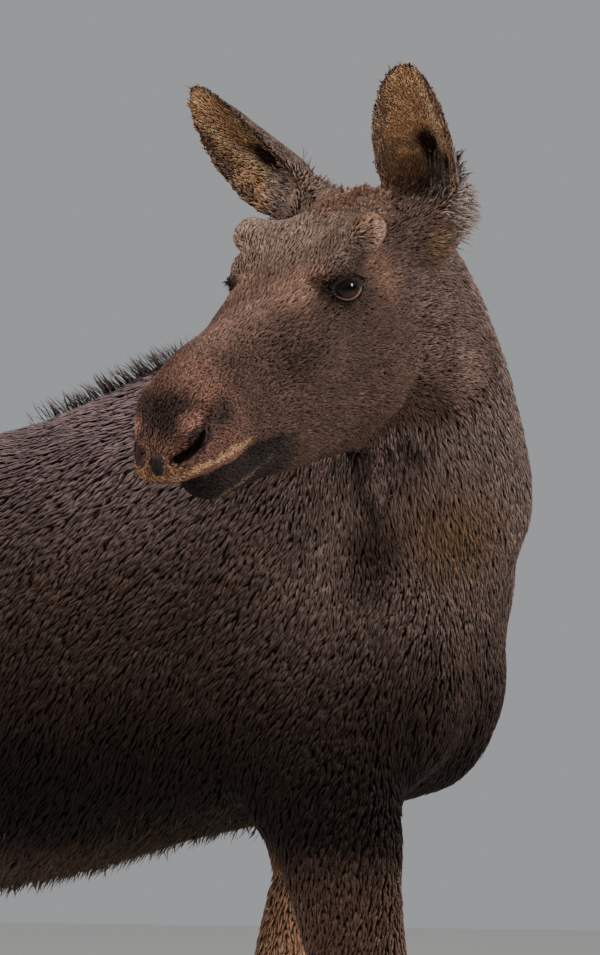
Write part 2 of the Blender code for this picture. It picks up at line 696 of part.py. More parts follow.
def loose_pieces(bm):
    unseen, pieces = set(bm.verts), []
    while unseen:
        piece, edge = [], [unseen.pop()]
        while edge:
            v = edge.pop()
            piece.append(v)
            for link in v.link_edges:
                other = link.other_vert(v)
                if other in unseen:
                    unseen.remove(other)
                    edge.append(other)
        pieces.append(piece)
    return sorted(pieces, key=len)


def without_scraps(obj):
    """Drops the crumbs that a cut can leave and keeps the one large piece."""
    bm = bmesh.new()
    bm.from_mesh(obj.data)
    for scrap in loose_pieces(bm)[:-1]:
        bmesh.ops.delete(bm, geom=scrap, context="VERTS")
    bm.to_mesh(obj.data)
    bm.free()
    return obj


def parted(obj, marks):
    """Splits an object into its loose pieces and names each by the nearest landmark."""
    bm = bmesh.new()
    bm.from_mesh(obj.data)
    bpy.data.objects.remove(obj)
    made = {}
    for piece in loose_pieces(bm):
        lows = [min(v.co[i] for v in piece) for i in range(3)]
        highs = [max(v.co[i] for v in piece) for i in range(3)]
        middle = Vector((a + b) / 2 for a, b in zip(lows, highs))
        name = min(marks, key=lambda mark: (Vector(marks[mark]) - middle).length)
        if name in made or len(piece) < 12:
            raise RuntimeError(f"a second piece at {name}: {tuple(middle)} of {len(piece)} corners")
        own = {v: i for i, v in enumerate(piece)}
        faces = {face for v in piece for face in v.link_faces}
        mesh = bpy.data.meshes.new(name)
        mesh.from_pydata([v.co for v in piece], [], [[own[v] for v in face.verts] for face in faces])
        made[name] = new_object(name, mesh)
    bm.free()
    return made


def even_body(place):
    """How much the trunk and neck are eased: wholly on the barrel, not down the legs or at the head."""
    x, y, z = place
    return float(np.clip((z - 0.80) / 0.12, 0, 1) * np.clip((1.53 - z) / 0.10, 0.15, 1))


def even_head(place):
    """The nape is eased most, the cheeks and brow a little, the muzzle hardly."""
    along = (HEAD.inverted() @ Vector(place)).x
    nape, muzzle = (float(np.clip(t, 0, 1)) for t in ((0.05 - along) / 0.06, (along - 0.30) / 0.08))
    return 0.28 + 0.5 * nape - 0.20 * muzzle


def main():
    for obj in list(bpy.data.objects):
        bpy.data.objects.remove(obj)
    masses = trunk_masses() + neck_masses()
    for side in (1, -1):
        masses += foreleg_masses(side) + hindleg_masses(side)
    body = thinned(flesh("body", masses, 12, even_body), BODY_FACETS)
    head = flesh("head", skull_masses() + [bell()], 10, even_head)
    model_face(head.data)
    thinned(head, HEAD_FACETS)
    cut(body, grown(head, SEAT))

    soft = []
    for side in (1, -1):
        cut(head, eye_opening(side))
        flap, cup = ear(side)
        cut(head, cup)
        for piece in (flap, antler_bud(side), eye(side)):
            cut(head, grown(piece, SEAT))
            if not piece.name.startswith("eye"):
                cut(body, grown(piece, SEAT))
                soft.append(piece)
    without_scraps(head)
    rump = tail()
    cut(body, grown(rump, SEAT))
    hard = feet()
    for piece in hard:
        cut(body, grown(piece, SEAT))
    for centre, normal, reach in saws():
        cut(body, saw(centre, normal, reach))
    pieces = parted(body, landmarks())

    for name, piece in pieces.items():
        finish(piece, "leg" if "_fore_" in name or "_hind_" in name else "coat")
    for piece in [head, rump] + soft:
        finish(piece, "ear" if piece.name.startswith("ear") else "coat")
    for piece in hard:
        finish(piece, "hoof")
    for side in ("left", "right"):
        finish(bpy.data.objects[f"eye_{side}"], "eye")
    stand_at_origin()


def finish(obj, finish_name):
    obj.data.materials.clear()
    obj.data.materials.append(material(finish_name))


def stand_at_origin():
    """Moves everything together so that the bounding box stands on the origin."""
    places = np.concatenate([places_of(o.data) for o in bpy.data.objects])
    low, high = places.min(axis=0), places.max(axis=0)
    shift = Vector((-(low[0] + high[0]) / 2, -(low[1] + high[1]) / 2, -low[2]))
    for obj in bpy.data.objects:
        obj.data.transform(Matrix.Translation(shift))


main()
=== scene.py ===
"""Young bull moose, life size, standing and looking back over its right side.

A skin is drawn over the frame's solids of flesh and sinks under them by the depth of the coat. The face is
modelled into it, and the coat is laid over it as many thousand small locks. Metres, +Z up, trunk along +X.
"""

import math

import bmesh
import bpy
import numpy as np
from mathutils import Matrix, Vector
from mathutils.bvhtree import BVHTree


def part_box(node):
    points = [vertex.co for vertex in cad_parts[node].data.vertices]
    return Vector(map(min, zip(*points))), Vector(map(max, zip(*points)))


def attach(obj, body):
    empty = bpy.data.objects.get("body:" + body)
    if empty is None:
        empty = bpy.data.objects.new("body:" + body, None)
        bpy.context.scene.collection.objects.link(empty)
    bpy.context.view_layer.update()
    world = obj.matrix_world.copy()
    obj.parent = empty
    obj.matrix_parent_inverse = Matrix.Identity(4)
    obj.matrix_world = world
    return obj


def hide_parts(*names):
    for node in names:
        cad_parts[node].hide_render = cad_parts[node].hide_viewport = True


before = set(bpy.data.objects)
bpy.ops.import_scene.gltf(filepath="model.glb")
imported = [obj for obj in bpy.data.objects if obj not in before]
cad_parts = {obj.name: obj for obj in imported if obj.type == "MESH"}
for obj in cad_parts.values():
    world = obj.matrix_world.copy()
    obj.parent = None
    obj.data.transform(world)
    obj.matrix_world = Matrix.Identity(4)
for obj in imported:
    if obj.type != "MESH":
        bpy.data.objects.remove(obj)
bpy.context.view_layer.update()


# ---- Skin ----------------------------------------------------------------
# The hide of the whole animal, one closed surface from the lips to the coronets of the hooves. It is made by
# melting the solids of flesh together, easing their facets, and sinking the result by the depth of the coat.
HARD = ("eye", "claw", "dewclaw")
flesh = [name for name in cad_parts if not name.startswith(HARD)]

# The head's own frame: +X to the nose, +Y to its left, origin on the poll, found from the eyes.
EYE_AT = Vector((0.1615, 0.0585, -0.0385))
head_turn = (
    Matrix.Rotation(math.radians(-114.0), 3, "Z")
    @ Matrix.Rotation(math.radians(24.7), 3, "Y")
    @ Matrix.Rotation(math.radians(1.0), 3, "X")
)
eye_centres = {side: sum(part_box(f"eye_{side}"), Vector()) / 2 for side in ("left", "right")}
poll = (eye_centres["left"] + eye_centres["right"]) / 2 - head_turn @ Vector((EYE_AT.x, 0, EYE_AT.z))
HEAD = np.array(head_turn)
POLL = np.array(poll)
# The floor point under the withers, from which places on the trunk and legs are measured.
WITHERS = POLL - np.array((0.100, -0.188, 1.562))
# Where each ear is rooted and tipped, where its opening faces and how its middle bows, by side.
EARS = {
    1: ((-0.003, 0.075, -0.035), (-0.001, 0.104, 0.153), (0.93, 0.17, 0.10), (0.002, -0.005, 0.0)),
    -1: ((0.001, -0.088, -0.024), (-0.019, -0.202, 0.134), (0.97, -0.15, -0.09), (0.005, -0.006, -0.004)),
}


def in_head(places):
    """Where places lie in the head's own frame."""
    return (places - POLL) @ HEAD


def from_head(places):
    """Where places of the head's own frame lie in the scene."""
    return np.asarray(places, float) @ HEAD.T + POLL


def ramp(values, low, high):
    """0 at low, 1 at high and smooth between; high may be the lesser."""
    t = np.clip((values - low) / (high - low), 0, 1)
    return t * t * (3 - 2 * t)


def read(mesh, what="vertices", name="co", width=3, kind=np.float64):
    """One value, or a row of them, for each of a mesh's elements."""
    elements = getattr(mesh, what)
    values = np.empty(len(elements) * width, kind)
    elements.foreach_get(name, values)
    return values.reshape(-1, width) if width > 1 else values


def edges_of(mesh):
    return read(mesh, "edges", "vertices", 2, np.int32)


def normals_of(mesh):
    return read(mesh, "vertices", "normal")


def write(mesh, places):
    mesh.vertices.foreach_set("co", np.ascontiguousarray(places, np.float32).ravel())
    mesh.update()


def placed(name, data):
    """A new object in the scene."""
    made = bpy.data.objects.new(name, data)
    bpy.context.scene.collection.objects.link(made)
    return made


def picked(*things):
    """Selects these alone, with the first of them active."""
    bpy.ops.object.select_all(action="DESELECT")
    for thing in things:
        thing.select_set(True)
    bpy.context.view_layer.objects.active = things[0]


def in_edit(*steps):
    """Takes these steps, each with its settings, on every face of the active object."""
    bpy.ops.object.mode_set(mode="EDIT")
    bpy.ops.mesh.select_all(action="SELECT")
    for step, settings in steps:
        step(**settings)
    bpy.ops.object.mode_set(mode="OBJECT")


def joined_copy(names, others=()):
    """One new object from copies of these nodes and then from others as they are made."""
    picked(*(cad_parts[name] for name in names))
    bpy.ops.object.duplicate()
    for other in others:
        other.select_set(True)
    bpy.ops.object.join()
    return bpy.context.view_layer.objects.active


def eased(places, edges, share, rounds):
    """Each point drawn toward the mean of its neighbours by its share, over and over."""
    count = len(places)
    a, b = edges[:, 0], edges[:, 1]
    links = np.maximum(np.bincount(a, minlength=count) + np.bincount(b, minlength=count), 1)
    places = places.copy()
    for _ in range(rounds):
        for axis in range(3):
            line = places[:, axis]
            total = np.bincount(a, line[b], count) + np.bincount(b, line[a], count)
            places[:, axis] = line + share * (total / links - line)
    return places


def ear_frame(side):
    """An ear's root, its length, and its ways along, across and out of the opening, in the head's frame."""
    base, tip, facing, bow = (np.array(v) for v in EARS[side])
    length = np.linalg.norm(tip - base)
    along = (tip - base) / length
    facing = facing - along * (facing @ along)
    facing /= np.linalg.norm(facing)
    return base, length, along, np.cross(along, facing), facing, bow


def in_ear(local, side):
    """Places along the ear from 0 at its root to 1 at its tip, then across it and out of it in metres."""
    base, length, along, across, facing, bow = ear_frame(side)
    share = (local - base) @ along / length
    arc = np.clip(4 * share * (1 - share), 0, None)
    off = local - base - arc[:, None] * bow
    return share, off @ across, off @ facing


def part_shares(places):
    """How much of each place belongs to the head, its muzzle, the ears, the legs and the shanks."""
    local, high = in_head(places), (places - WITHERS)[:, 2]
    head = ramp(local[:, 0], -0.08, 0.03) * ramp(np.abs(local[:, 1]), 0.30, 0.26)
    head = head * ramp(local[:, 2], -0.42, -0.36) * ramp(high, 1.17, 1.22)
    beside = (places - WITHERS)[:, 1] - np.interp(high, (1.30, 1.47), (-0.215, -0.02))
    head = head * ramp(beside, 0.030, -0.018)
    ears = np.zeros(len(places))
    for side in (1, -1):
        share, across, out = in_ear(local, side)
        near = ramp(np.abs(across), 0.075, 0.06) * ramp(np.abs(out), 0.085, 0.07)
        ears = np.maximum(ears, ramp(share, 0.10, 0.28) * ramp(share, 1.25, 1.15) * near)
    muzzle = head * ramp(local[:, 0], 0.27, 0.35)
    return head, muzzle, ears, ramp(high, 0.86, 0.76), ramp(high, 0.62, 0.45)


def coat_depth(places):
    """How deep the coat lies over the skin, in metres."""
    head, muzzle, ears, legs, shanks = part_shares(places)
    depth = 0.0066 - 0.0012 * legs - 0.0024 * shanks
    depth = depth * (1 - head) + head * (0.0032 - 0.0016 * muzzle)
    depth = depth * (1 - ears) + ears * 0.0021
    return depth * (0.2 + 0.8 * ramp((places - WITHERS)[:, 2], 0.045, 0.075))


def ear_leaf(side):
    """An ear as a trough of gristle with ridges up its inside, 1.5 mm too thick all over for the melt."""
    base, length, along, across, facing, bow = ear_frame(side)
    #          share  half width  depth behind  hollow's depth (negative is outward)
    profile = ((-0.16, 0.025, 0.028, -0.020), (0.00, 0.035, 0.047, -0.018), (0.10, 0.041, 0.054, -0.004),
               (0.18, 0.0450, 0.0570, 0.028), (0.32, 0.0485, 0.054, 0.045), (0.50, 0.0480, 0.041, 0.033),
               (0.68, 0.0430, 0.027, 0.019), (0.84, 0.0325, 0.014, 0.006), (0.94, 0.0200, 0.009, 0.001),
               (0.99, 0.0080, 0.005, -0.001))
    table = np.array(profile)
    shares = np.concatenate((np.linspace(-0.16, 0.9, 30), np.linspace(0.92, 0.99, 6)))
    turns = np.linspace(0, math.pi, 25)
    rows = []
    for share in shares:
        wide, behind, hollow = (np.interp(share, table[:, 0], table[:, k]) for k in (1, 2, 3))
        middle = base + along * share * length + bow * max(0.0, 4 * share * (1 - share))
        row = [middle + across * wide * math.cos(t) - facing * behind * math.sin(t) for t in turns]
        for t in turns[-2:0:-1]:
            ridges = 0.0
            for at, width in ((0.36, 0.10), (0.53, 0.07), (0.70, 0.10)):
                ridges += 0.0042 * math.exp(-(((t / math.pi - at) / (0.35 * width)) ** 2))
            ridges *= ramp(share, 0.10, 0.30) * ramp(share, 0.88, 0.60)
            depth = hollow * math.sin(t) ** 0.8 - ridges
            row.append(middle + across * (wide - 0.010) * math.cos(t) - facing * depth)
        rows.append(row)
    bm = bmesh.new()
    grid = [[bm.verts.new(from_head(p)) for p in row] for row in rows]
    for one, two in zip(grid, grid[1:]):
        for i in range(len(one)):
            j = (i + 1) % len(one)
            bm.faces.new((one[i], one[j], two[j], two[i]))
    bm.faces.new(grid[0])
    bm.faces.new(grid[-1])
    bmesh.ops.recalc_face_normals(bm, faces=bm.faces)
    mesh = bpy.data.meshes.new("ear")
    bm.to_mesh(mesh)
    bm.free()
    return placed("ear", mesh)


WELD = 0.00002  # points nearer to each other than this become one
melted_nodes = [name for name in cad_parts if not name.startswith(("ear_", "claw_", "head"))]
skin = joined_copy(["head"] + melted_nodes, (ear_leaf(side) for side in (1, -1)))
skin.name = skin.data.name = "skin"
in_edit((bpy.ops.mesh.remove_doubles, {"threshold": WELD}))

melt = skin.modifiers.new("melt", "REMESH")
melt.mode = "VOXEL"
melt.voxel_size = 0.0040
bpy.ops.object.modifier_apply(modifier=melt.name)

places = read(skin.data)
edges = edges_of(skin.data)
head, muzzle, ears, legs, shanks = part_shares(places)
for share, rounds in (
    (0.5 * (1 - 0.3 * ears), 4),
    (0.5 * (1 - ears) * (1 - muzzle), 3),
    (0.5 * (1 - ears) * (1 - head), 6),
    (0.5 * (1 - ears) * (1 - head) * (1 - legs), 34),
):
    places = eased(places, edges, share, rounds)
write(skin.data, places)

places -= normals_of(skin.data) * coat_depth(places)[:, None]
write(skin.data, places)

SKIN_FACES = 110000
thin = skin.modifiers.new("thin", "DECIMATE")
thin.ratio = SKIN_FACES / (2 * len(skin.data.polygons))
body_group = skin.vertex_groups.new(name="body")
for i, weight in enumerate(np.clip(1 - head - ears, 0, 1).tolist()):
    body_group.add([i], weight, "REPLACE")
thin.vertex_group = body_group.name
bpy.ops.object.modifier_apply(modifier=thin.name)
skin.vertex_groups.clear()


# ---- Face ----------------------------------------------------------------
# Lids over the eyes, the hollows round them, the nostrils and the overhanging lip. The skin is divided
# finely where they lie and then pushed and pulled there as clay is, the same on both sides.
def refine(mesh, inside):
    """Divides the faces whose corners all lie where inside(places in the head's frame) says."""
    bm = bmesh.new()
    bm.from_mesh(mesh)
    chosen = inside(in_head(np.array([v.co for v in bm.verts])))
    bm.verts.ensure_lookup_table()
    near = [e for e in bm.edges if chosen[e.verts[0].index] and chosen[e.verts[1].index]]
    bmesh.ops.subdivide_edges(bm, edges=near, cuts=1, use_grid_fill=True)
    bmesh.ops.triangulate(bm, faces=bm.faces)
    bm.to_mesh(mesh)
    bm.free()


def mirrored(point, side):
    return np.array((point[0], point[1] * side, point[2]))


def near_spot(local, spot, radii):
    """1 at the spot, falling smoothly to 0 at an oval of these radii round it."""
    away = (((local - spot) / radii) ** 2).sum(axis=1)
    return np.clip(1 - away, 0, None) ** 2


def both(local, spot, radii):
    """near_spot on both sides of the head."""
    return np.maximum(*(near_spot(local, mirrored(spot, side), radii) for side in (1, -1)))


def along_path(local, knots, side):
    """Each place's distance to a path through knots on one side, and how far along it that is, 0 to 1."""
    knots = [mirrored(knot, side) for knot in knots]
    best, share = np.full(len(local), 9.0), np.zeros(len(local))
    for i, (a, b) in enumerate(zip(knots, knots[1:])):
        t = np.clip((local - a) @ (b - a) / ((b - a) @ (b - a)), 0, 1)
        away = np.linalg.norm(local - a - t[:, None] * (b - a), axis=1)
        closer = away < best
        best[closer] = away[closer]
        share[closer] = (i + t[closer]) / (len(knots) - 1)
    return best, share


EYE = Vector((0.162, 0.0635, -0.0430))  # the eyeball's middle, a little prouder than the solid's
EYE_RADIUS = 0.0195
LID_TURN, LID_LIFT, LID_TILT = 35.0, 3.0, 10.0  # where the opening faces, forward and up, and its slant
LID_LENGTH, LID_HEIGHT = 51.0, 33.0  # half the opening's size, in degrees of the eyeball


def eye_ways(side):
    """The way the opening faces, then its own forward and upward ways, in the head's frame."""
    turn, lift, tilt = (math.radians(a) for a in (LID_TURN, LID_LIFT, LID_TILT))
    out = np.array((math.sin(turn) * math.cos(lift), math.cos(turn) * math.cos(lift), math.sin(lift)))
    ahead = np.cross(out, (0, 0, 1.0))
    ahead /= np.linalg.norm(ahead)
    up = np.cross(ahead, out)
    ahead, up = ahead * math.cos(tilt) + up * math.sin(tilt), up * math.cos(tilt) - ahead * math.sin(tilt)
    return [way * (1, side, 1) for way in (out, ahead, up)]


def lid_place(local, side):
    """Where places lie round the eye: distance from its middle, 0 at the opening's middle to 1 at its edge
    and beyond, and how high they lie as a share of the opening's half height."""
    out, ahead, up = eye_ways(side)
    off = local - mirrored(EYE, side)
    far = np.linalg.norm(off, axis=1)
    forward = np.degrees(np.arctan2(off @ ahead, off @ out)) / LID_LENGTH
    high = np.degrees(np.arctan2(off @ up, np.hypot(off @ out, off @ ahead))) / LID_HEIGHT
    edge = np.sqrt(forward**2 + high**2 * (1 + 0.45 * np.clip(forward, -1.6, 1.6) ** 2))
    return far, edge, high


def shape_lids(local, side):
    """Draws the skin round an eye to the rises of the lids and the rim of the socket, in millimetres."""
    far, edge, high = lid_place(local, side)
    upper = ramp(high, -0.1, 0.3)
    #      edge of the opening ... out over the lid, its crease and the rim of the socket
    steps = (0.00, 0.86, 0.96, 1.01, 1.07, 1.22, 1.42, 1.60, 1.85, 2.40)
    under = (-3.5, -3.5, -1.5, 1.30, 2.10, 2.10, 1.20, 2.20, 3.40, 4.50)
    over = (-3.5, -3.5, -1.5, 2.20, 3.60, 4.00, 3.60, 2.00, 4.60, 7.00)
    rise = np.interp(edge, steps, under) * (1 - upper) + np.interp(edge, steps, over) * upper
    share = ramp(edge, 2.3, 1.45) * (far < 0.045)
    wanted = EYE_RADIUS + rise * 0.001  # from millimetres
    return local + (local - mirrored(EYE, side)) * ((wanted / far - 1) * share)[:, None]


NOSTRIL = ((0.4775, 0.0235, -0.1055), (0.4700, 0.0300, -0.1040), (0.4600, 0.0385, -0.0985),
           (0.4440, 0.0455, -0.0880), (0.4320, 0.0485, -0.0785))
MOUTH_LINE = (0.31, 0.35, 0.44), (-0.150, -0.143, -0.1375)  # its height at these distances to the nose
MOUTH = ((0.440, 0.000, -0.1375), (0.430, 0.022, -0.1385), (0.405, 0.034, -0.1395), (0.365, 0.039, -0.1420),
         (0.330, 0.044, -0.1475), (0.312, 0.046, -0.1510))


def shape_muzzle(local, normal, side):
    """The nostril, the folds, the lips and the nose pad of one side."""
    mine = local[:, 1] * side > -0.0005
    local = local.copy()

    def push(strength, way, amount):
        move = np.asarray(way, float)
        move = move if move.ndim == 2 else mirrored(move, side)[None, :]
        local[:] = local + (strength * mine * amount)[:, None] * move

    for spot, radii, rise in (
        ((0.452, 0.034, -0.078), (0.024, 0.022, 0.020), 0.0032),  # over the nostril
        ((0.421, 0.050, -0.092), (0.022, 0.018, 0.022), -0.0030),  # behind it
        ((0.398, 0.050, -0.092), (0.020, 0.018, 0.024), 0.0022),  # roll of the cheek
    ):
        push(near_spot(local, mirrored(spot, side), radii), normal, rise)
    # the nostril, a comma: round and deep in front, drawn out to a slit up behind
    away, share = along_path(local, NOSTRIL, side)
    width = np.interp(share, (0, 0.25, 0.6, 1), (0.0080, 0.0090, 0.0052, 0.0024))
    inward = (-0.80, -0.55, -0.10)
    depth = np.interp(share, (0, 0.3, 0.65, 1), (0.019, 0.020, 0.010, 0.003))
    lip = np.exp(-(((away - width * 1.25) / 0.0030) ** 2)) * ramp(away, 0.0, 0.004)
    push(lip, normal, np.interp(share, (0, 0.5, 1), (0.0016, 0.0020, 0.0006)))
    push(ramp(away, width * 1.08, width * 0.45), inward, depth)
    # the fold behind the muzzle
    fold = ((0.372, 0.050, -0.092), (0.380, 0.0512, -0.106),
            (0.398, 0.0515, -0.114), (0.418, 0.0515, -0.116))
    away, share = along_path(local, fold, side)
    push(np.exp(-((away / 0.0016) ** 2)) * ramp(share, 0, 0.2) * ramp(share, 1.0, 0.7), normal, -0.0017)
    push(np.exp(-(((away - 0.0045) / 0.0030) ** 2)), normal, 0.0009)
    # the lip: a rounded overhanging edge, the line of the mouth under it, and the lower lip's own roll
    away, share = along_path(local, MOUTH, side)
    above = local[:, 2] > np.interp(local[:, 0], *MOUTH_LINE)
    push(np.exp(-(((away - 0.0060) / 0.0040) ** 2)) * above, normal, 0.0016)
    push(np.exp(-(((away - 0.0050) / 0.0035) ** 2)) * ~above, normal, 0.0009)
    push(np.exp(-((away / 0.0024) ** 2)) * ramp(share, 1.0, 0.88), normal, -0.0060)
    # the groove down the middle of the nose pad
    middle = np.exp(-((local[:, 1] / 0.0014) ** 2)) * ramp(local[:, 0], 0.470, 0.480)
    push(middle * ramp(local[:, 2], -0.100, -0.108) * 0.5, (-1, 0, 0), 0.0022)
    return local


def shape_head(local, normal, side):
    """Bones and muscles under the skin of the face."""
    mine = local[:, 1] * side > 0
    for spot, radii, rise in (
        ((0.148, 0.064, -0.010), (0.034, 0.020, 0.013), 0.0035),  # brow over the eye
        ((0.205, 0.066, -0.036), (0.020, 0.022, 0.012), -0.0035),  # hollow of the tear duct
        ((0.213, 0.068, -0.062), (0.026, 0.024, 0.018), -0.0045),  # hollow before the eye
        ((0.118, 0.078, -0.040), (0.030, 0.024, 0.026), -0.0040),  # behind the eye
        ((0.185, 0.070, -0.072), (0.055, 0.034, 0.016), 0.0035),  # cheekbone under the eye
        ((0.240, 0.062, -0.080), (0.070, 0.034, 0.020), 0.0026),  # and its crest toward the muzzle
        ((0.120, 0.070, -0.160), (0.060, 0.030, 0.060), 0.0040),  # chewing muscle
        ((0.320, 0.050, -0.075), (0.055, 0.036, 0.034), -0.0026),  # waist before the muzzle
        ((0.110, 0.030, 0.012), (0.030, 0.018, 0.012), -0.0040),  # between the buds
    ):
        local = local + (near_spot(local, mirrored(spot, side), radii) * mine * rise)[:, None] * normal
    return local


skin_mesh = skin.data
refine(skin_mesh, lambda p: (p[:, 0] > 0.30) & (np.abs(p[:, 1]) < 0.08) & (np.abs(p[:, 2] + 0.10) < 0.12))
eye_spots = [mirrored(EYE, side) + 0.018 * eye_ways(side)[0] for side in (1, -1)]


def by_eyes(places, reach):
    """Whether places lie within reach of either eye's front."""
    return np.minimum(*(np.linalg.norm(places - spot, axis=1) for spot in eye_spots)) < reach


def by_path(places, knots, reach):
    """Whether places lie within reach of a path on either side."""
    return np.minimum(*(along_path(places, knots, side)[0] for side in (1, -1))) < reach


refine(skin_mesh, lambda p: by_eyes(p, 0.040))
refine(skin_mesh, lambda p: by_eyes(p, 0.030))
refine(skin_mesh, lambda p: by_path(p, NOSTRIL, 0.013))
refine(skin_mesh, lambda p: by_path(p, MOUTH, 0.008))

places = read(skin_mesh)
edges = edges_of(skin_mesh)
local = in_head(places)
cheeks = both(local, (0.272, 0.060, -0.090), (0.060, 0.05, 0.050))
places = eased(places, edges, 0.55 * np.minimum(2 * cheeks, 1), 30)  # where the cheekbone runs out
fine = ramp(local[:, 0], 0.29, 0.31) * (np.abs(local[:, 1]) < 0.09) * ramp(local[:, 2], -0.24, -0.22)
fine = np.maximum(fine, by_eyes(local, 0.042)) * (np.abs(local[:, 2]) < 0.25)
places = eased(places, edges, 0.5 * fine, 4)
local = in_head(places)
write(skin_mesh, places)
normal = normals_of(skin_mesh) @ HEAD
in_face = (np.abs(local[:, 1]) < 0.13) & (local[:, 2] > -0.30) & (local[:, 2] < 0.06) & (local[:, 0] > 0.02)
for side in (1, -1):
    local = np.where(in_face[:, None], shape_head(local, normal, side), local)
write(skin_mesh, from_head(local))
normal = normals_of(skin_mesh) @ HEAD
for side in (1, -1):
    before_eyes = in_face & (local[:, 0] > 0.28)
    local = np.where(before_eyes[:, None], shape_muzzle(local, normal, side), local)
    beside = in_face & (local[:, 1] * side > 0)
    local = np.where(beside[:, None], shape_lids(local, side), local)
write(skin_mesh, from_head(local))

edges = edges_of(skin_mesh)
round_eyes = np.zeros(len(local))
for side in (1, -1):
    far, ring = lid_place(local, side)[:2]
    near_it = (local[:, 1] * side > 0) & (far < 0.060)
    round_eyes = np.maximum(round_eyes, near_it * ramp(ring, 1.45, 1.9) * ramp(far, 0.060, 0.050))
places = eased(from_head(local), edges, 0.5 * round_eyes, 10)
local = in_head(places)
for side in (1, -1):  # no part of a lid or its crease cuts into the eyeball
    far, ring = lid_place(local, side)[:2]
    hidden = (local[:, 1] * side > 0) & (far < 0.035) & (ring > 1.0)
    out = np.where(hidden, np.maximum(far, EYE_RADIUS + 0.0009), far) / far
    off = local - mirrored(EYE, side)
    facing_out = (off @ eye_ways(side)[0]) > 0
    local = np.where(facing_out[:, None], mirrored(EYE, side) + off * out[:, None], local)
write(skin_mesh, from_head(local))


# ---- Markings, painted light and shade -----------------------------------
# The colours of the hairs, low down and at their tips, found for any place on the animal. The skin takes
# its own from here too, so that what shows between the locks has the same markings as the coat. Some of
# these colours are painted light and shade, each noted where it is painted.
def cloud(places, lump, seed=0):
    """Smooth noise from -1 to 1, with lumps of about this size in metres, from large primes mixed."""
    spots = places / lump + 31.7 * seed
    cell = np.floor(spots).astype(np.int64)
    near = spots - cell
    near = near * near * (3 - 2 * near)
    total = np.zeros(len(places))
    for corner in range(8):
        step = np.array((corner & 1, corner >> 1 & 1, corner >> 2))
        mixed = ((cell + step) * (73856093, 19349663, 83492791)).sum(axis=1) + 7919 * seed
        mixed = ((mixed ^ (mixed >> 13)) * 1274126177) & 0xFFFFFFFF
        value = ((mixed ^ (mixed >> 15)) & 0xFFFF) / 32767.5 - 1
        total += np.where(step, near, 1 - near).prod(axis=1) * value
    return total


def tint(*shades):
    """A colour from its everyday 0 to 255 values."""
    c = np.array(shades) / 255
    return np.where(c > 0.04045, ((c + 0.055) / 1.055) ** 2.4, c / 12.92)


def mix(one, two, share):
    """The first at 0, the second at 1; share has one number for each row."""
    return one * (1 - share)[:, None] + two * share[:, None]


def below_mouth(local):
    """1 on the lower lip and chin, under the line of the mouth."""
    line = np.interp(local[:, 0], (0.24, *MOUTH_LINE[0]), (-0.17, *MOUTH_LINE[1]))
    return ramp(local[:, 2] - line, 0.001, -0.003) * ramp(local[:, 0], 0.27, 0.33)


# how wide half an ear's opening is at these shares of its length
EAR_WIDTHS = (0, 0.15, 0.4, 0.84, 0.94, 1), (0.031, 0.041, 0.044, 0.0285, 0.017, 0.0)


def inside_ear(places, normal):
    """1 in the hollow of an ear, 0 on its back, and how far up the ear a place lies."""
    local, turned = in_head(places), normal @ HEAD
    hollow, high = np.zeros(len(places)), np.zeros(len(places))
    for side in (1, -1):
        share, facing = in_ear(local, side)[0], ear_frame(side)[4]
        mine = (local[:, 1] * side > 0) * (share > 0)
        hollow = np.where(mine, ramp(turned @ facing, -0.05, 0.30) * ramp(share, 0.06, 0.16), hollow)
        high = np.where(mine, share, high)
    return hollow, high


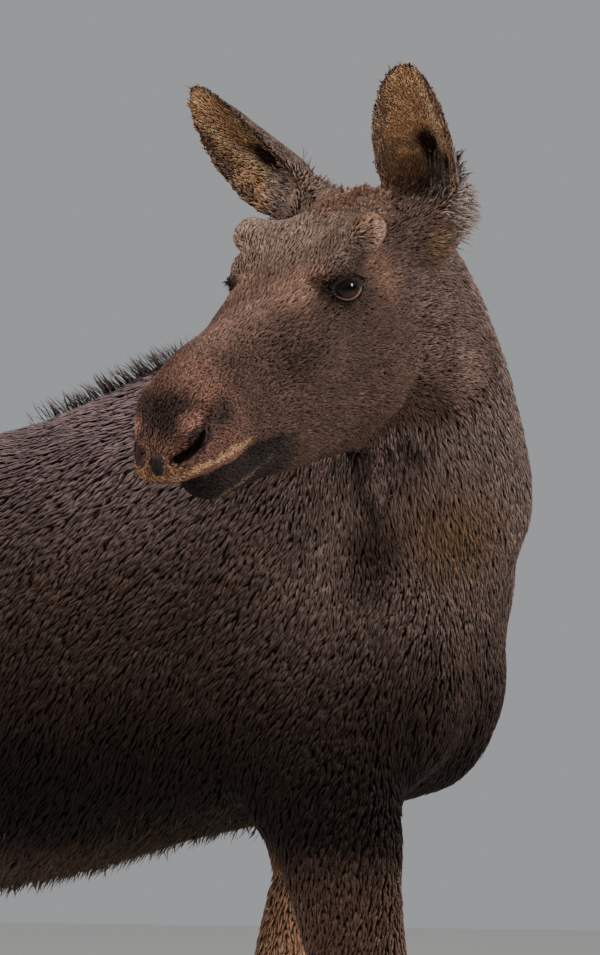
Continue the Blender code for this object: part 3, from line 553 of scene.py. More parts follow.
def hide_colours(places, normal):
    """The colour of the hairs' lower parts and of their tips at each place."""
    wander = [cloud(places, 0.022, k) + 0.5 * cloud(places, 0.009, k + 3) for k in range(3)]
    near = places + 0.0035 * np.stack(wander, axis=1)
    head, muzzle, ears, legs, shanks = part_shares(near)
    local = in_head(near)
    spot = near - WITHERS
    x, y, z = spot.T
    low = np.tile(tint(52, 40, 36), (len(places), 1))
    tip = np.tile(tint(104, 88, 79), (len(places), 1))

    def paint(mask, low_shade, tip_shade):
        mask = np.clip(mask, 0, 1)
        low[:] = mix(low, tint(*low_shade), mask)
        tip[:] = mix(tip, tint(*tip_shade), mask)

    def dab(share, spot, radii, low_shade, tip_shade):
        paint(share * both(local, spot, radii), low_shade, tip_shade)

    trunk = (1 - head) * (1 - legs)
    # the top of the back is lighter: partly its greyer hair, partly painted light from above
    paint(trunk * ramp(z, 1.12, 1.34) * ramp(x, 0.05, -0.15), (60, 51, 52), (176, 160, 166))
    # the flank darkens downward: partly its own dark hair, partly painted shade
    paint(trunk * ramp(z, 1.14, 0.90), (25, 17, 13), (43, 31, 25))
    # low on the flank behind the shoulder: painted shadow
    paint(trunk * ramp(z, 1.00, 0.84) * ramp(x, -0.12, -0.30), (15, 10, 8), (29, 20, 15))
    # the underside, where it faces down, is darker: partly dark hair, partly painted shade under the body
    paint(trunk * ramp(z, 0.90, 0.79) * ramp(normal[:, 2], -0.35, -0.8), (26, 18, 12), (50, 36, 23))
    paint(trunk * ramp(x, -0.06, 0.06) * ramp(z, 1.0, 1.2), (80, 67, 62), (154, 138, 134))
    # the neck's forward-facing side is painted lighter and greyer: a painted sheen
    painted_neck_sheen = ramp(normal[:, 0], 0.2, 0.85) * ramp(z, 1.12, 1.25) * ramp(x, 0.10, 0.2)
    paint(trunk * painted_neck_sheen, (88, 76, 71), (152, 139, 134))
    # a darker spot on the throat under the jaw: painted shadow of the jaw and the neck's fold
    paint(trunk * near_spot(spot, (0.105, -0.12, 1.172), (0.055, 0.09, 0.10)), (40, 31, 27), (78, 62, 54))
    # a lighter, golden patch on the throat's fold: painted light
    paint(trunk * near_spot(spot, (0.195, -0.12, 1.195), (0.095, 0.12, 0.085)), (82, 66, 50), (144, 122, 96))
    crest = ramp(np.abs(y), 0.045, 0.02) * ramp(z, 1.33, 1.38) * ramp(x, -0.36, -0.2)
    paint(trunk * crest, (30, 24, 23), (66, 54, 50))
    # the legs are greyer down the outside, and pale inside
    paint(legs * (1 - 0.4 * shanks), (76, 58, 49), (122, 100, 88))
    paint(shanks, (108, 88, 74), (170, 148, 130))
    inner = ramp(normal[:, 1] * np.sign(y), -0.05, -0.55) * ramp(z, 0.84, 0.76) * ramp(z, 0.10, 0.2)
    paint(inner, (170, 132, 104), (228, 190, 158))
    paint(ramp(z, 0.15, 0.09) * legs, (60, 48, 42), (96, 80, 70))
    tail = ramp(x, -1.02, -1.05) * ramp(z, 1.05, 1.15) * ramp(np.abs(y), 0.10, 0.05)
    paint(tail, (88, 70, 58), (128, 108, 94))
    # the head
    paint(head, (66, 49, 42), (98, 77, 68))
    paint(head * ramp(local[:, 2], -0.13, -0.22), (62, 47, 41), (102, 83, 73))
    paint(head * ramp(local[:, 0], 0.12, 0.0), (72, 58, 51), (130, 112, 104))
    # the top of the nose and the brow are lighter: partly greyer hair, partly a painted sheen where they
    # face up
    dab(head, (0.30, 0.0, -0.01), (0.17, 0.062, 0.062), (118, 93, 83), (177, 146, 133))
    dab(head, (0.215, 0.045, -0.012), (0.09, 0.05, 0.04), (124, 96, 82), (190, 156, 138))
    dab(head, (0.035, 0.02, 0.01), (0.085, 0.085, 0.045), (122, 80, 58), (186, 136, 110))
    dab(head, (0.118, 0.088, 0.004), (0.036, 0.030, 0.030), (146, 104, 78), (214, 172, 142))
    dab(head, (0.095, 0.080, -0.055), (0.05, 0.04, 0.05), (100, 74, 60), (156, 124, 106))
    dab(0.9 * head, (0.006, 0.088, -0.066), (0.034, 0.034, 0.055), (84, 66, 48), (142, 116, 90))
    # painted shade in the hollow before the eye
    dab(0.85, (0.2225, 0.069, -0.057), (0.032, 0.03, 0.026), (46, 33, 28), (84, 64, 55))
    # painted shade over the eye, under the brow
    dab(0.75, (0.168, 0.074, -0.014), (0.034, 0.03, 0.013), (44, 31, 27), (86, 66, 56))
    paint(muzzle * ramp(local[:, 0], 0.36, 0.42), (98, 70, 60), (146, 112, 98))
    dab(1.3, (0.452, 0.0, -0.066), (0.062, 0.060, 0.040), (46, 34, 32), (82, 65, 61))
    dab(0.8, (0.4535, 0.0357, -0.080), (0.020, 0.02, 0.016), (170, 122, 106), (222, 176, 158))
    # behind the nostril, where the skin dips: darker hair with painted shade
    dab(1.25, (0.4150, 0.0530, -0.082), (0.038, 0.030, 0.032), (40, 28, 25), (74, 56, 50))
    dab(0.9, (0.486, 0.021, -0.113), (0.022, 0.014, 0.013), (176, 134, 100), (226, 184, 144))
    # the lips: a tan edge over a black chin, partly its dark hair and partly painted shade under the
    # overhanging lip, and under the chin a pale rim of painted rim light
    lower = below_mouth(local) * head
    paint(lower, (24, 18, 17), (46, 35, 32))
    # along the chin's lower edge: a pale band of painted rim light
    chin_rim_light = ((0.330, 0.034, -0.172), (0.368, 0.029, -0.176), (0.400, 0.022, -0.180),
           (0.418, 0.009, -0.185), (0.420, 0, -0.186))
    edge = ((0.345, 0.044, -0.1410), (0.40, 0.051, -0.1275), (0.4445, 0.047, -0.1235),
            (0.477, 0.036, -0.1215), (0.485, 0.017, -0.1250), (0.486, 0, -0.1256))
    for side in (1, -1):
        away, share = along_path(local, chin_rim_light, side)
        paint(0.45 * ramp(away, 0.008, 0.003), (112, 92, 74), (152, 130, 110))
        away, share = along_path(local, edge, side)
        edging = ramp(away, 0.0068, 0.0035) * ramp(share, 0.0, 0.12) * (1 - lower)
        paint(edging * (1 - 0.6 * ramp(share, 0.45, 0.1)), (182, 142, 104), (228, 192, 150))
        away, share = along_path(local, NOSTRIL, side)
        paint(ramp(away, 0.0105, 0.0070), (52, 36, 32), (84, 62, 54))
        far, ring = lid_place(local, side)[:2]
        close = (far < 0.05) * (local[:, 1] * side > 0)
        paint(close * ramp(ring, 2.2, 1.25), (40, 29, 26), (84, 66, 57))
    # the ears: tan and mottled inside round painted shade in the hollow, with a pale ridge and a dark rim;
    # frosted behind
    hollow, up_ear = inside_ear(places, normal)
    mottle = 0.5 + 0.5 * cloud(places, 0.010, 9)
    paint(ears, (52, 42, 42), (150, 134, 128))
    paint(ramp(up_ear, 0.32, 0.12) * ramp(up_ear, -0.25, -0.05) * ramp(local[:, 2], -0.03, 0.01) * head,
          (110, 92, 80), (205, 186, 172))
    paint(hollow * ears, (178, 134, 98), (255, 218, 172))
    paint(0.6 * hollow * ears * mottle, (92, 64, 46), (168, 124, 90))
    for side in (1, -1):
        share, across = in_ear(local, side)[:2]
        outer = across * side
        mine = hollow * ears * (local[:, 1] * side > 0)
        # painted shade deep in the ear's hollow
        painted_hollow_shade = near_spot(np.stack((share * 0.18, outer), axis=1), (0.068, 0.005), (0.036, 0.018))
        paint(1.5 * mine * painted_hollow_shade, (26, 17, 13), (60, 42, 32))
        paint(mine * ramp(share, 0.24, 0.14), (96, 74, 54), (176, 142, 108))
        off_ridge = (outer - 0.020 + 0.010 * (share - 0.4) ** 2) / 0.0045
        ridge = np.exp(-(off_ridge**2)) * ramp(share, 0.15, 0.3)
        paint(mine * ridge * ramp(share, 0.86, 0.70), (224, 184, 140), (255, 236, 200))
        wide = np.interp(share, *EAR_WIDTHS)
        paint(0.9 * mine * ramp(np.abs(across), wide - 0.010, wide - 0.003), (66, 53, 48), (134, 114, 104))
    shade = 1 + (0.16 + 0.06 * head) * cloud(places, 0.05, 12)
    shade = shade + (0.10 + 0.10 * head) * cloud(places, 0.014, 13)
    # the lower trunk behind the shoulder darker still: partly dark hair, partly painted shade
    shade *= 1 - 0.18 * trunk * ramp(z, 1.25, 1.0) * ramp(x, 0.05, -0.15)
    # the inside of the left ear is painted much lighter than the right's: painted light
    shade *= 1 + hollow * ears * np.where(local[:, 1] > 0, 0.75, 0.10)
    brown = np.array((0.42, 0.355, 0.325)) * shade[:, None]
    return low * brown, tip * brown


# ---- Coat ----------------------------------------------------------------
# The short winter coat: coarse hairs that cling together in small pointed locks, each rooted in the skin and
# lying back along the body. Locks are longest on the trunk and smallest on the muzzle, ears and feet.
def unit(ways):
    return ways / np.maximum(np.linalg.norm(ways, axis=1), 1e-9)[:, None]


def lay_of_coat(places, normal):
    """The way the hair lies at each place, along the skin."""
    head, muzzle, ears, legs, shanks = part_shares(places)
    local = in_head(places)
    x, y, z = (places - WITHERS).T
    drop = np.clip((1.36 - z) / 0.5, 0, 1)
    way = np.stack((-0.8 * np.ones_like(x), 0.0 * x, -0.45 - 1.1 * drop), axis=1)
    from_skull = unit(places - from_head((0.06, 0.0, -0.04))) + (0.0, 0.0, -0.55)
    neck = ramp(z, 0.98, 1.22) * ramp(x, -0.10, 0.06)
    way = mix(unit(way), from_skull, neck)
    chest = ramp(x, 0.02, 0.16) * ramp(z, 1.2, 1.05) * (1 - legs)
    way = mix(way, np.array((-0.25, 0, -1.0)), chest)
    down = ramp(z, 0.92, 0.78) * (1 - ramp(np.abs(y), 0.06, 0.03) * ramp(normal[:, 2], -0.5, -0.8))
    way = mix(way, np.array((-0.12, 0, -1.0)), down)
    tail = ramp(x, -0.99, -1.02) * ramp(np.abs(y), 0.05, 0.035) * ramp(z, 1.28, 1.26) * ramp(z, 1.05, 1.08)
    way = mix(way, np.array((-0.1, 0, -1.0)), tail)
    back = unit(local - (0.62, 0.0, -0.07))
    back[:, 2] -= 0.25 * ramp(local[:, 0], 0.30, 0.10)
    way = mix(way, back @ HEAD.T, head)
    hollow = inside_ear(places, normal)[0]
    for side in (1, -1):
        across = in_ear(local, side)[1]
        mine = (local[:, 1] * side > 0) * ears
        spread = np.clip(across / 0.03, -1, 1)[:, None] * (0.35 + 0.6 * hollow)[:, None]
        along, across_way = ear_frame(side)[2:4]
        way = mix(way, (along + spread * across_way) @ HEAD.T, mine)
    swirl = np.stack([cloud(places, 0.045, k + 20) for k in range(3)], axis=1)
    way = way + 0.22 * swirl * (1 - 0.5 * head - 0.3 * ears)[:, None]
    way -= normal * (way * normal).sum(axis=1)[:, None]
    return unit(way)


def lock_sizes(places):
    """The spacing of the locks, then their length and width, at each place."""
    head, muzzle, ears, legs, shanks = part_shares(places)
    spot = places - WITHERS
    neck = ramp(spot[:, 0], -0.05, 0.08) * ramp(spot[:, 2], 1.0, 1.15)
    feet = ramp(spot[:, 2], 0.16, 0.10)
    eyes = np.zeros(len(places))
    local = in_head(places)
    for side in (1, -1):
        eyes = np.maximum(eyes, ramp(np.linalg.norm(local - mirrored(EYE, side), axis=1), 0.050, 0.026))
    sizes = np.tile((0.00460, 0.0235, 0.0047), (len(places), 1))
    for share, values in (
        (neck, (0.0035, 0.0220, 0.0037)),
        (legs, (0.0043, 0.0175, 0.0044)),
        (shanks, (0.0037, 0.0130, 0.0036)),
        (feet, (0.0030, 0.0080, 0.0027)),
        (head, (0.00232, 0.0130, 0.0028)),
        (muzzle, (0.00215, 0.0074, 0.0026)),
        (eyes, (0.00190, 0.0060, 0.0021)),
        (ears, (0.00225, 0.0100, 0.0023)),
    ):
        sizes = mix(sizes, np.array(values), share)
    return sizes


def bare(places):
    """1 where no hair grows: the nose pad, nostrils, rims of the lids and mouth, coronets and dewclaws."""
    local = in_head(places)
    half = 0.0042 + 0.30 * (local[:, 2] + 0.1215)
    naked = ramp(local[:, 0], 0.474, 0.480) * (np.abs(local[:, 1]) < half)
    naked = naked * ramp(local[:, 2], -0.1235, -0.121) * ramp(local[:, 2], -0.097, -0.100)
    for side in (1, -1):
        away, share = along_path(local, NOSTRIL, side)
        width = np.interp(share, (0, 0.25, 0.6, 1), (0.0082, 0.0092, 0.0054, 0.0026))
        naked = np.maximum(naked, away < width)
        away, share = along_path(local, MOUTH, side)
        naked = np.maximum(naked, (away < 0.0016) & (share < 0.9))
        far, ring = lid_place(local, side)[:2]
        naked = np.maximum(naked, (far < 0.045) & (ring < 1.16) & (local[:, 1] * side > 0))
    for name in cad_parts:
        if name.startswith("dewclaw"):
            low, high = (np.array(corner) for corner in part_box(name))
            within = ((places > low - 0.003) & (places < high + (0.003, 0.003, -0.012))).all(axis=1)
            naked = np.maximum(naked, within)
    return np.maximum(naked, (places - WITHERS)[:, 2] < 0.045)


skin.data.calc_loop_triangles()
corners = read(skin.data, "loop_triangles", "vertices", 3, np.int32)
skin_places, skin_normals = read(skin.data), normals_of(skin.data)
middles = skin_places[corners].mean(axis=1)
first, second, third = (skin_places[corners[:, k]] for k in range(3))
areas = np.linalg.norm(np.cross(second - first, third - first), axis=1) / 2
# neighbours follow each other in this order, so that an even count along it is an even cover of the skin
CELL = 0.012  # the side of the cubes that the order runs through
cell = ((middles - middles.min(axis=0)) / CELL).astype(np.int64)
order = np.zeros(len(cell), np.int64)
for bit in range(8):
    for axis in range(3):
        order |= ((cell[:, axis] >> bit) & 1) << (3 * bit + axis)
order = np.argsort(order, kind="stable")
wanted = np.cumsum(areas[order] / lock_sizes(middles[order])[:, 0] ** 2)
count = np.arange(int(wanted[-1]))
shift, slide = (count * 0.7548776662) % 1, (count * 0.5698402910) % 1  # steps that never fall in line
chosen = corners[order[np.minimum(np.searchsorted(wanted, count + 0.5), len(order) - 1)]]
fold = np.sqrt(shift)
weights = np.stack((1 - fold, fold * (1 - slide), fold * slide), axis=1)
roots = (skin_places[chosen] * weights[:, :, None]).sum(axis=1)
root_normals = unit((skin_normals[chosen] * weights[:, :, None]).sum(axis=1))
grows = bare(roots) < 0.5
roots, root_normals = roots[grows], root_normals[grows]

dice = np.random.default_rng(11)
skin_tree = BVHTree.FromPolygons(skin_places.tolist(), corners.tolist())


def on_skin(places):
    """The nearest place on the skin to each, and the way out of the skin there."""
    found = [skin_tree.find_nearest(p)[:2] for p in places.tolist()]
    return np.array([f[0] for f in found]), np.array([f[1] for f in found])


def region_of(places):
    """The name of the piece of coat that each place belongs to."""
    head, muzzle, ears, legs, shanks = part_shares(places)
    x, y, z = (places - WITHERS).T
    ahead = in_head(places)[:, 1] > 0
    side = np.where(y > 0, "left", "right")
    face_side = np.where(ahead, "left", "right")
    names = np.char.add(np.where(x > -0.40, "coat_barrel_", "coat_flank_"), side)
    names = np.where((x > -0.03) & (z > 0.86), np.char.add("coat_neck_", side), names)
    names = np.where(z < 0.80, np.where(x > -0.4, "coat_legs_fore", "coat_legs_hind"), names)
    names = np.where(head > 0.5, np.char.add("coat_head_", face_side), names)
    facial = (head > 0.5) & (in_head(places)[:, 0] > 0.21)
    names = np.where(facial, np.char.add("coat_face_", face_side), names)
    return np.where(ears > 0.5, np.char.add("coat_ear_", face_side), names)


def triangles_of(mesh):
    return read(mesh, "polygons", "vertices", 3, np.int32)


def flattened(mine):
    """Some faces of the small skin laid out flat: a finder of them, their corners, their flat corners."""
    flat = placed("flat", small.data.copy())
    picked(flat)
    bm = bmesh.new()
    bm.from_mesh(flat.data)
    bmesh.ops.delete(bm, geom=[f for f in bm.faces if not mine[f.index]], context="FACES")
    bm.to_mesh(flat.data)
    bm.free()
    in_edit((bpy.ops.uv.smart_project, {"angle_limit": math.radians(66), "island_margin": 0.004}))
    layer = flat.data.uv_layers.active.uv
    spread = np.empty(len(layer) * 2, np.float32)
    layer.foreach_get("vector", spread)
    spread = spread.reshape(-1, 3, 2)
    low, high = spread.min(axis=(0, 1)), spread.max(axis=(0, 1))
    spread = 0.01 + 0.98 * (spread - low) / (high - low)
    faces = triangles_of(flat.data)
    knots = read(flat.data)
    tree = BVHTree.FromPolygons(knots.tolist(), faces.tolist())
    bpy.data.objects.remove(flat)
    return tree, knots[faces], spread


def flat_places(mine, places):
    """Where each place falls on the flattened skin of its piece."""
    tree, triangles, spread = flattened(mine)
    found = [tree.find_nearest(p)[::2] for p in places.tolist()]
    where = np.array([f[0] for f in found])
    face = np.array([f[1] for f in found])
    a, b, c = (triangles[face, k] for k in range(3))
    across, up, off = b - a, c - a, where - a
    wide, slant, tall = ((one * two).sum(1) for one, two in ((across, across), (across, up), (up, up)))
    right, over = (off * across).sum(1), (off * up).sum(1)
    whole = np.maximum(wide * tall - slant * slant, 1e-18)
    to_b, to_c = (tall * right - slant * over) / whole, (wide * over - slant * right) / whole
    share = np.clip(np.stack((1 - to_b - to_c, to_b, to_c), axis=1), 0, 1)
    share /= share.sum(axis=1)[:, None]
    return (spread[face] * share[:, :, None]).sum(axis=1)


PATCH = 0.0015  # half the room that a lock takes on the flattened skin


def mark(mesh, name, values):
    """Gives each point of a mesh a colour of four numbers, a vector of three, or one number."""
    kinds = {4: ("FLOAT_COLOR", "color"), 3: ("FLOAT_VECTOR", "vector"), 1: ("FLOAT", "value")}
    kind, field = kinds[values.shape[-1]]
    mesh.attributes.new(name, kind, "POINT").data.foreach_set(field, values.astype(np.float32).ravel())


def with_alpha(tones):
    """Colours in range, with an alpha of 1."""
    return np.concatenate((np.clip(tones, 0.002, 1), np.ones((*tones.shape[:-1], 1))), axis=-1)


def locks(name, spine, normal, width, low, tip, key, under):
    """Makes a piece of closed locks, each swept along its spine from a root point to a tip point."""
    rings, number = len(spine) - 2, len(width)
    at = np.linspace(0, 1, len(spine))

    def strand_at(across, share):
        return np.stack((np.full(number, across), np.full(number, share), key), axis=1)

    # the root point is painted a little darker: painted shade down among the locks
    points, tones, strands, flats = [spine[0]], [low * 0.9], [strand_at(0.0, 0.0)], [(0.0, -PATCH)]
    for ring in range(1, rings + 1):
        aside = unit(np.cross(unit(spine[ring + 1] - spine[ring - 1]), normal))
        swell = (1.0, 0.82, 0.6)[ring - 1] * width[:, None] / 2
        tone = low * (1 - at[ring]) + tip * at[ring]
        for across, lift in ((-1, -0.06), (0, 0.20), (1, -0.06)):
            points.append(spine[ring] + aside * swell * across + normal * swell * lift * 2)
            # the two side points are painted darker than the ridge: painted shade along each lock's sides
            tones.append(tone * (0.86 if across else 1.0))
            strands.append(strand_at(float(across), at[ring]))
            flats.append((across * PATCH, (2 * at[ring] - 1) * PATCH))
    points.append(spine[-1])
    tones.append(tip)
    strands.append(strand_at(0.0, 1.0))
    flats.append((0.0, PATCH))
    faces = [(1 + (k + 1) % 3, 1 + k, 0) for k in range(3)]
    for ring in range(rings - 1):
        first, then = 1 + 3 * ring, 4 + 3 * ring
        for k in range(3):
            j = (k + 1) % 3
            faces += [(first + k, first + j, then + j), (first + k, then + j, then + k)]
    last = 1 + 3 * (rings - 1)
    faces += [(last + k, last + (k + 1) % 3, len(points) - 1) for k in range(3)]
    faces, corner = np.array(faces), len(points)
    index = (np.arange(number)[:, None, None] * corner + faces[None]).reshape(-1)
    mesh = bpy.data.meshes.new(name)
    mesh.vertices.add(number * corner)
    mesh.vertices.foreach_set("co", np.stack(points, axis=1).astype(np.float32).ravel())
    mesh.loops.add(len(index))
    mesh.loops.foreach_set("vertex_index", index.astype(np.int32))
    mesh.polygons.add(len(index) // 3)
    mesh.polygons.foreach_set("loop_start", np.arange(0, len(index), 3, dtype=np.int32))
    mesh.polygons.foreach_set("use_smooth", np.ones(len(index) // 3, bool))
    mesh.update(calc_edges=True)
    mark(mesh, "tone", with_alpha(np.stack(tones, axis=1)))
    mark(mesh, "strand", np.stack(strands, axis=1))
    patch = flat_places(under, spine[0])[:, None, :] + np.array(flats)[None]
    patch = patch[np.arange(number)[:, None, None], faces[None]]
    mesh.uv_layers.new(name="OFBake").uv.foreach_set("vector", patch.astype(np.float32).ravel())
    return placed(name, mesh)


SMALL_SHARE = 0.07  # of the skin's faces, in the light copy that is laid out flat
picked(skin)
bpy.ops.object.duplicate()
small = bpy.context.object
thin = small.modifiers.new("thin", "DECIMATE")
thin.ratio = SMALL_SHARE
bpy.ops.object.modifier_apply(modifier=thin.name)
small_faces = triangles_of(small.data)
small_middles = read(small.data)[small_faces].mean(axis=1)
small_normals = read(small.data, "polygons", "normal")
small_regions = region_of(small_middles)

sizes = lock_sizes(roots)
number = len(roots)
way = lay_of_coat(roots, root_normals)
aside = np.cross(root_normals, way)
stray = dice.normal(0, 0.16, number)
way = way * np.cos(stray)[:, None] + aside * np.sin(stray)[:, None]
long = sizes[:, 1] * dice.uniform(0.72, 1.25, number)
reach = coat_depth(roots) * dice.uniform(0.62, 1.05, number) * (1 + 0.18 * cloud(roots, 0.02, 5))
far_places, far_normals = on_skin(roots + way * long[:, None])
tips = far_places + far_normals * reach[:, None]
ROOT_DEPTH = 0.0012  # how far each lock starts under the skin
starts = roots - root_normals * ROOT_DEPTH
bellies = roots + way * (0.40 * long)[:, None] + root_normals * (0.66 * reach)[:, None]
low, tip = hide_colours(roots, root_normals)
calm = part_shares(roots)[0][:, None]  # the face's hair is finer and more even
even = 0.30 + 0.25 * calm
low = mix(low, 0.62 * tip + 0.1 * low, even[:, 0])
fade = 1 + dice.uniform(-0.20, 0.22, number)[:, None] * (1 + 0.6 * calm)
frost = (dice.random(number) < 0.22)[:, None] * (0.25 + 0.30 * calm)
tip = tip * (1 + frost) * fade
low = low * fade
width = sizes[:, 2] * dice.uniform(0.75, 1.25, number)
key = dice.uniform(0, 100, number)
regions = region_of(roots)
coat = []
for name in sorted(set(regions.tolist())):
    mine = regions == name
    spine = [starts[mine], bellies[mine], tips[mine]]
    rest = (values[mine] for values in (root_normals, width, low, tip, key))
    coat.append(locks(name, spine, *rest, small_regions == name))


# ---- Long hair -----------------------------------------------------------
# The locks that stand off the body: the erect dark mane on the withers, the fringes of belly and bell, the
# muffs behind the ears and the hair within them, the poll's reddish tuft, the tail and the lashes.
def long_locks(name, where, length, width, first_way, last_way, shades, spread=0.25, seed=1):
    """A piece of long locks rooted where a share beats the dice, which start one way and end another."""
    rng = np.random.default_rng(seed)
    mine = rng.random(len(roots)) < where(roots, root_normals)
    base, out = roots[mine], root_normals[mine]
    number = len(base)
    long = length * rng.uniform(0.55, 1.15, number)

    def strayed(ways):
        return unit(ways + rng.normal(0, spread, (number, 3)))

    one, two = strayed(first_way(base, out)), strayed(last_way(base, out))
    spine = [base - out * 0.002]
    for turn in (0.1, 0.5, 0.95):
        spine.append(spine[-1] + (one * (1 - turn) + two * turn) * (long / 3)[:, None])
    low, tip = hide_colours(base, out)
    if shades:
        low, tip = (np.tile(tint(*shade), (number, 1)) for shade in shades)
    fade = rng.uniform(0.75, 1.3, number)[:, None]
    across = width * rng.uniform(0.6, 1.2, number)
    under = where(small_middles, small_normals) > 0.01
    return locks(name, spine, out, across, low * fade, tip * fade, rng.uniform(0, 100, number), under)


def way_of(*parts):
    """The same way everywhere."""
    return lambda base, out: np.tile(np.array(parts, float), (len(base), 1))


def with_lay(lift, *drift):
    """Along the coat's own lay, lifted off the skin by a share, and drawn toward a way."""
    return lambda base, out: lay_of_coat(base, out) + lift * out + np.array(drift or (0, 0, 0))


def on_withers(places, normal):
    x, y, z = (places - WITHERS).T
    share = 0.95 * ramp(np.abs(y), 0.050, 0.015) * ramp(z, 1.29, 1.33)
    return share * ramp(x, -0.36, -0.24) * ramp(x, 0.06, -0.02)


def under_belly(places, normal):
    x, y, z = (places - WITHERS).T
    share = ramp(z, 0.90, 0.83) * ramp(normal[:, 2], -0.45, -0.8) * ramp(np.abs(y), 0.17, 0.10)
    return 0.45 * share * ramp(x, -0.80, -0.66) * ramp(x, 0.05, -0.05)


def on_muffs(places, normal):
    behind_ears = both(in_head(places), (-0.045, 0.100, -0.030), (0.050, 0.050, 0.062))
    return 0.95 * np.clip(1.6 * behind_ears, 0, 1)


def on_poll(places, normal):
    between_buds = near_spot(in_head(places), (0.030, 0.0, 0.012), (0.075, 0.070, 0.040))
    return 0.28 * np.clip(1.5 * between_buds, 0, 1)


def on_bell(places, normal):
    local = in_head(places)
    bell = ramp(local[:, 2], -0.235, -0.265) * ramp(np.abs(local[:, 1]), 0.06, 0.045)
    bell = 0.55 * bell * ramp(np.abs(local[:, 0] - 0.10), 0.055, 0.035)
    return bell * ramp((places - WITHERS)[:, 1], -0.15, -0.18)


def on_tail(places, normal):
    x, y, z = (places - WITHERS).T
    share = 0.8 * ramp(x, -1.00, -1.03) * ramp(np.abs(y), 0.045, 0.036)
    return share * ramp(z, 1.26, 1.24) * ramp(z, 1.07, 1.09)


def in_ears(places, normal):
    """The long hair inside the ear, down its front edge and out of its root."""
    hollow, high = inside_ear(places, normal)
    ears, local, share_in = part_shares(places)[2], in_head(places), np.zeros(len(places))
    for side in (1, -1):
        share, across = in_ear(local, side)[:2]
        wide = np.interp(share, *EAR_WIDTHS)
        mine = (local[:, 1] * side > 0) * ramp(np.abs(across), wide - 0.016, wide - 0.006)
        share_in = np.maximum(share_in, mine)
    return 0.30 * ears * hollow * np.maximum(share_in, 0.35 * ramp(high, 0.6, 0.3))


def everywhere(places, normal):
    """Thinly over the trunk and legs."""
    head, muzzle, ears, legs, shanks = part_shares(places)
    return 0.032 * (1 - head) * (1 - 0.5 * shanks) * ramp((places - WITHERS)[:, 2], 0.12, 0.2) * (1 - ears)


def ear_ways(along_share, out_share, aside_share):
    """Up the ear, out of its opening and away from its middle by these shares."""
    def ways(base, out):
        local, way = in_head(base), np.zeros((len(base), 3))
        for side in (1, -1):
            across = in_ear(local, side)[1]
            along, across_way, facing = ear_frame(side)[2:5]
            turned = along_share * along + out_share * facing
            turned = turned + np.sign(across)[:, None] * aside_share * across_way
            way = np.where((local[:, 1] * side > 0)[:, None], turned, way)
        return way @ HEAD.T
    return ways


coat += [
    long_locks("mane", on_withers, 0.036, 0.0021, with_lay(2.2, 0.2, 0, 0.4), with_lay(0.7, 0, 0, 0.6),
               ((44, 34, 31), (90, 74, 68)), 0.4, seed=21),
    # the belly fringe is dark: partly its own dark hair, partly painted shade under the body
    long_locks("belly_fringe", under_belly, 0.030, 0.0030, with_lay(0.3, 0, 0, -0.5), way_of(-0.6, 0, -0.8),
               ((34, 25, 17), (66, 49, 31)), 0.3, seed=22),
    long_locks("ear_muffs", on_muffs, 0.025, 0.0021, with_lay(1.1, 0, 0, 0.1), with_lay(0.5, 0, 0, -0.3),
               ((80, 68, 63), (146, 132, 124)), 0.35, seed=23),
    long_locks("poll_tuft", on_poll, 0.015, 0.0028, with_lay(0.9, 0, 0, 0.3), with_lay(0.4, 0, 0, 0.1),
               ((66, 42, 31), (112, 78, 61)), 0.35, seed=24),
    long_locks("bell_hair", on_bell, 0.034, 0.0036, way_of(0, 0, -1), way_of(0.05, 0, -1),
               ((26, 19, 17), (62, 47, 41)), seed=25),
    long_locks("tail_hair", on_tail, 0.050, 0.0044, with_lay(0.4, 0, 0, -0.4), way_of(-0.05, 0, -1),
               None, seed=26),
    long_locks("ear_hair", in_ears, 0.016, 0.0017, ear_ways(0.7, 0.5, -0.2), ear_ways(1.0, 0.25, 0.1),
               ((100, 76, 54), (168, 134, 100)), seed=27),
    long_locks("guard_hair", everywhere, 0.022, 0.0022, with_lay(0.35), with_lay(0.30), None, 0.12, seed=28),
]

lashes = []
for side in (1, -1):
    out, ahead, up = eye_ways(side)
    for turn in np.linspace(20, 150, 34):
        aside, rise = math.cos(math.radians(turn)), math.sin(math.radians(turn))
        forward = math.radians(LID_LENGTH * 1.06 * aside)
        high = math.radians(LID_HEIGHT * 1.02 * rise / math.hypot(1, 0.5 * forward))
        way = out * math.cos(forward) * math.cos(high) + ahead * math.sin(forward) + up * math.sin(high)
        start = mirrored(EYE, side) + way * (EYE_RADIUS + 0.0015)
        curl = way * 0.7 + ahead * 0.5 * aside - np.array((0, 0, 0.75))
        lashes.append((start, way, curl))
starts, outs, ends = (np.array(part) for part in zip(*lashes))
starts, outs, ends = from_head(starts), outs @ HEAD.T, ends @ HEAD.T
long = dice.uniform(0.008, 0.013, len(starts))[:, None]
spine = [starts - outs * 0.001, starts + outs * long * 0.45]
spine.append(starts + outs * long * 0.6 + ends * long * 0.55)
lash_tone = np.tile(tint(20, 14, 12), (len(starts), 1))
under = np.zeros(len(small_middles), bool)
for side in (1, -1):
    under |= np.linalg.norm(small_middles - from_head(mirrored(EYE, side)), axis=1) < 0.05
coat.append(locks("lashes", spine, np.cross(outs, ends), np.full(len(starts), 0.0007), lash_tone, lash_tone,
                  dice.uniform(0, 100, len(starts)), under))


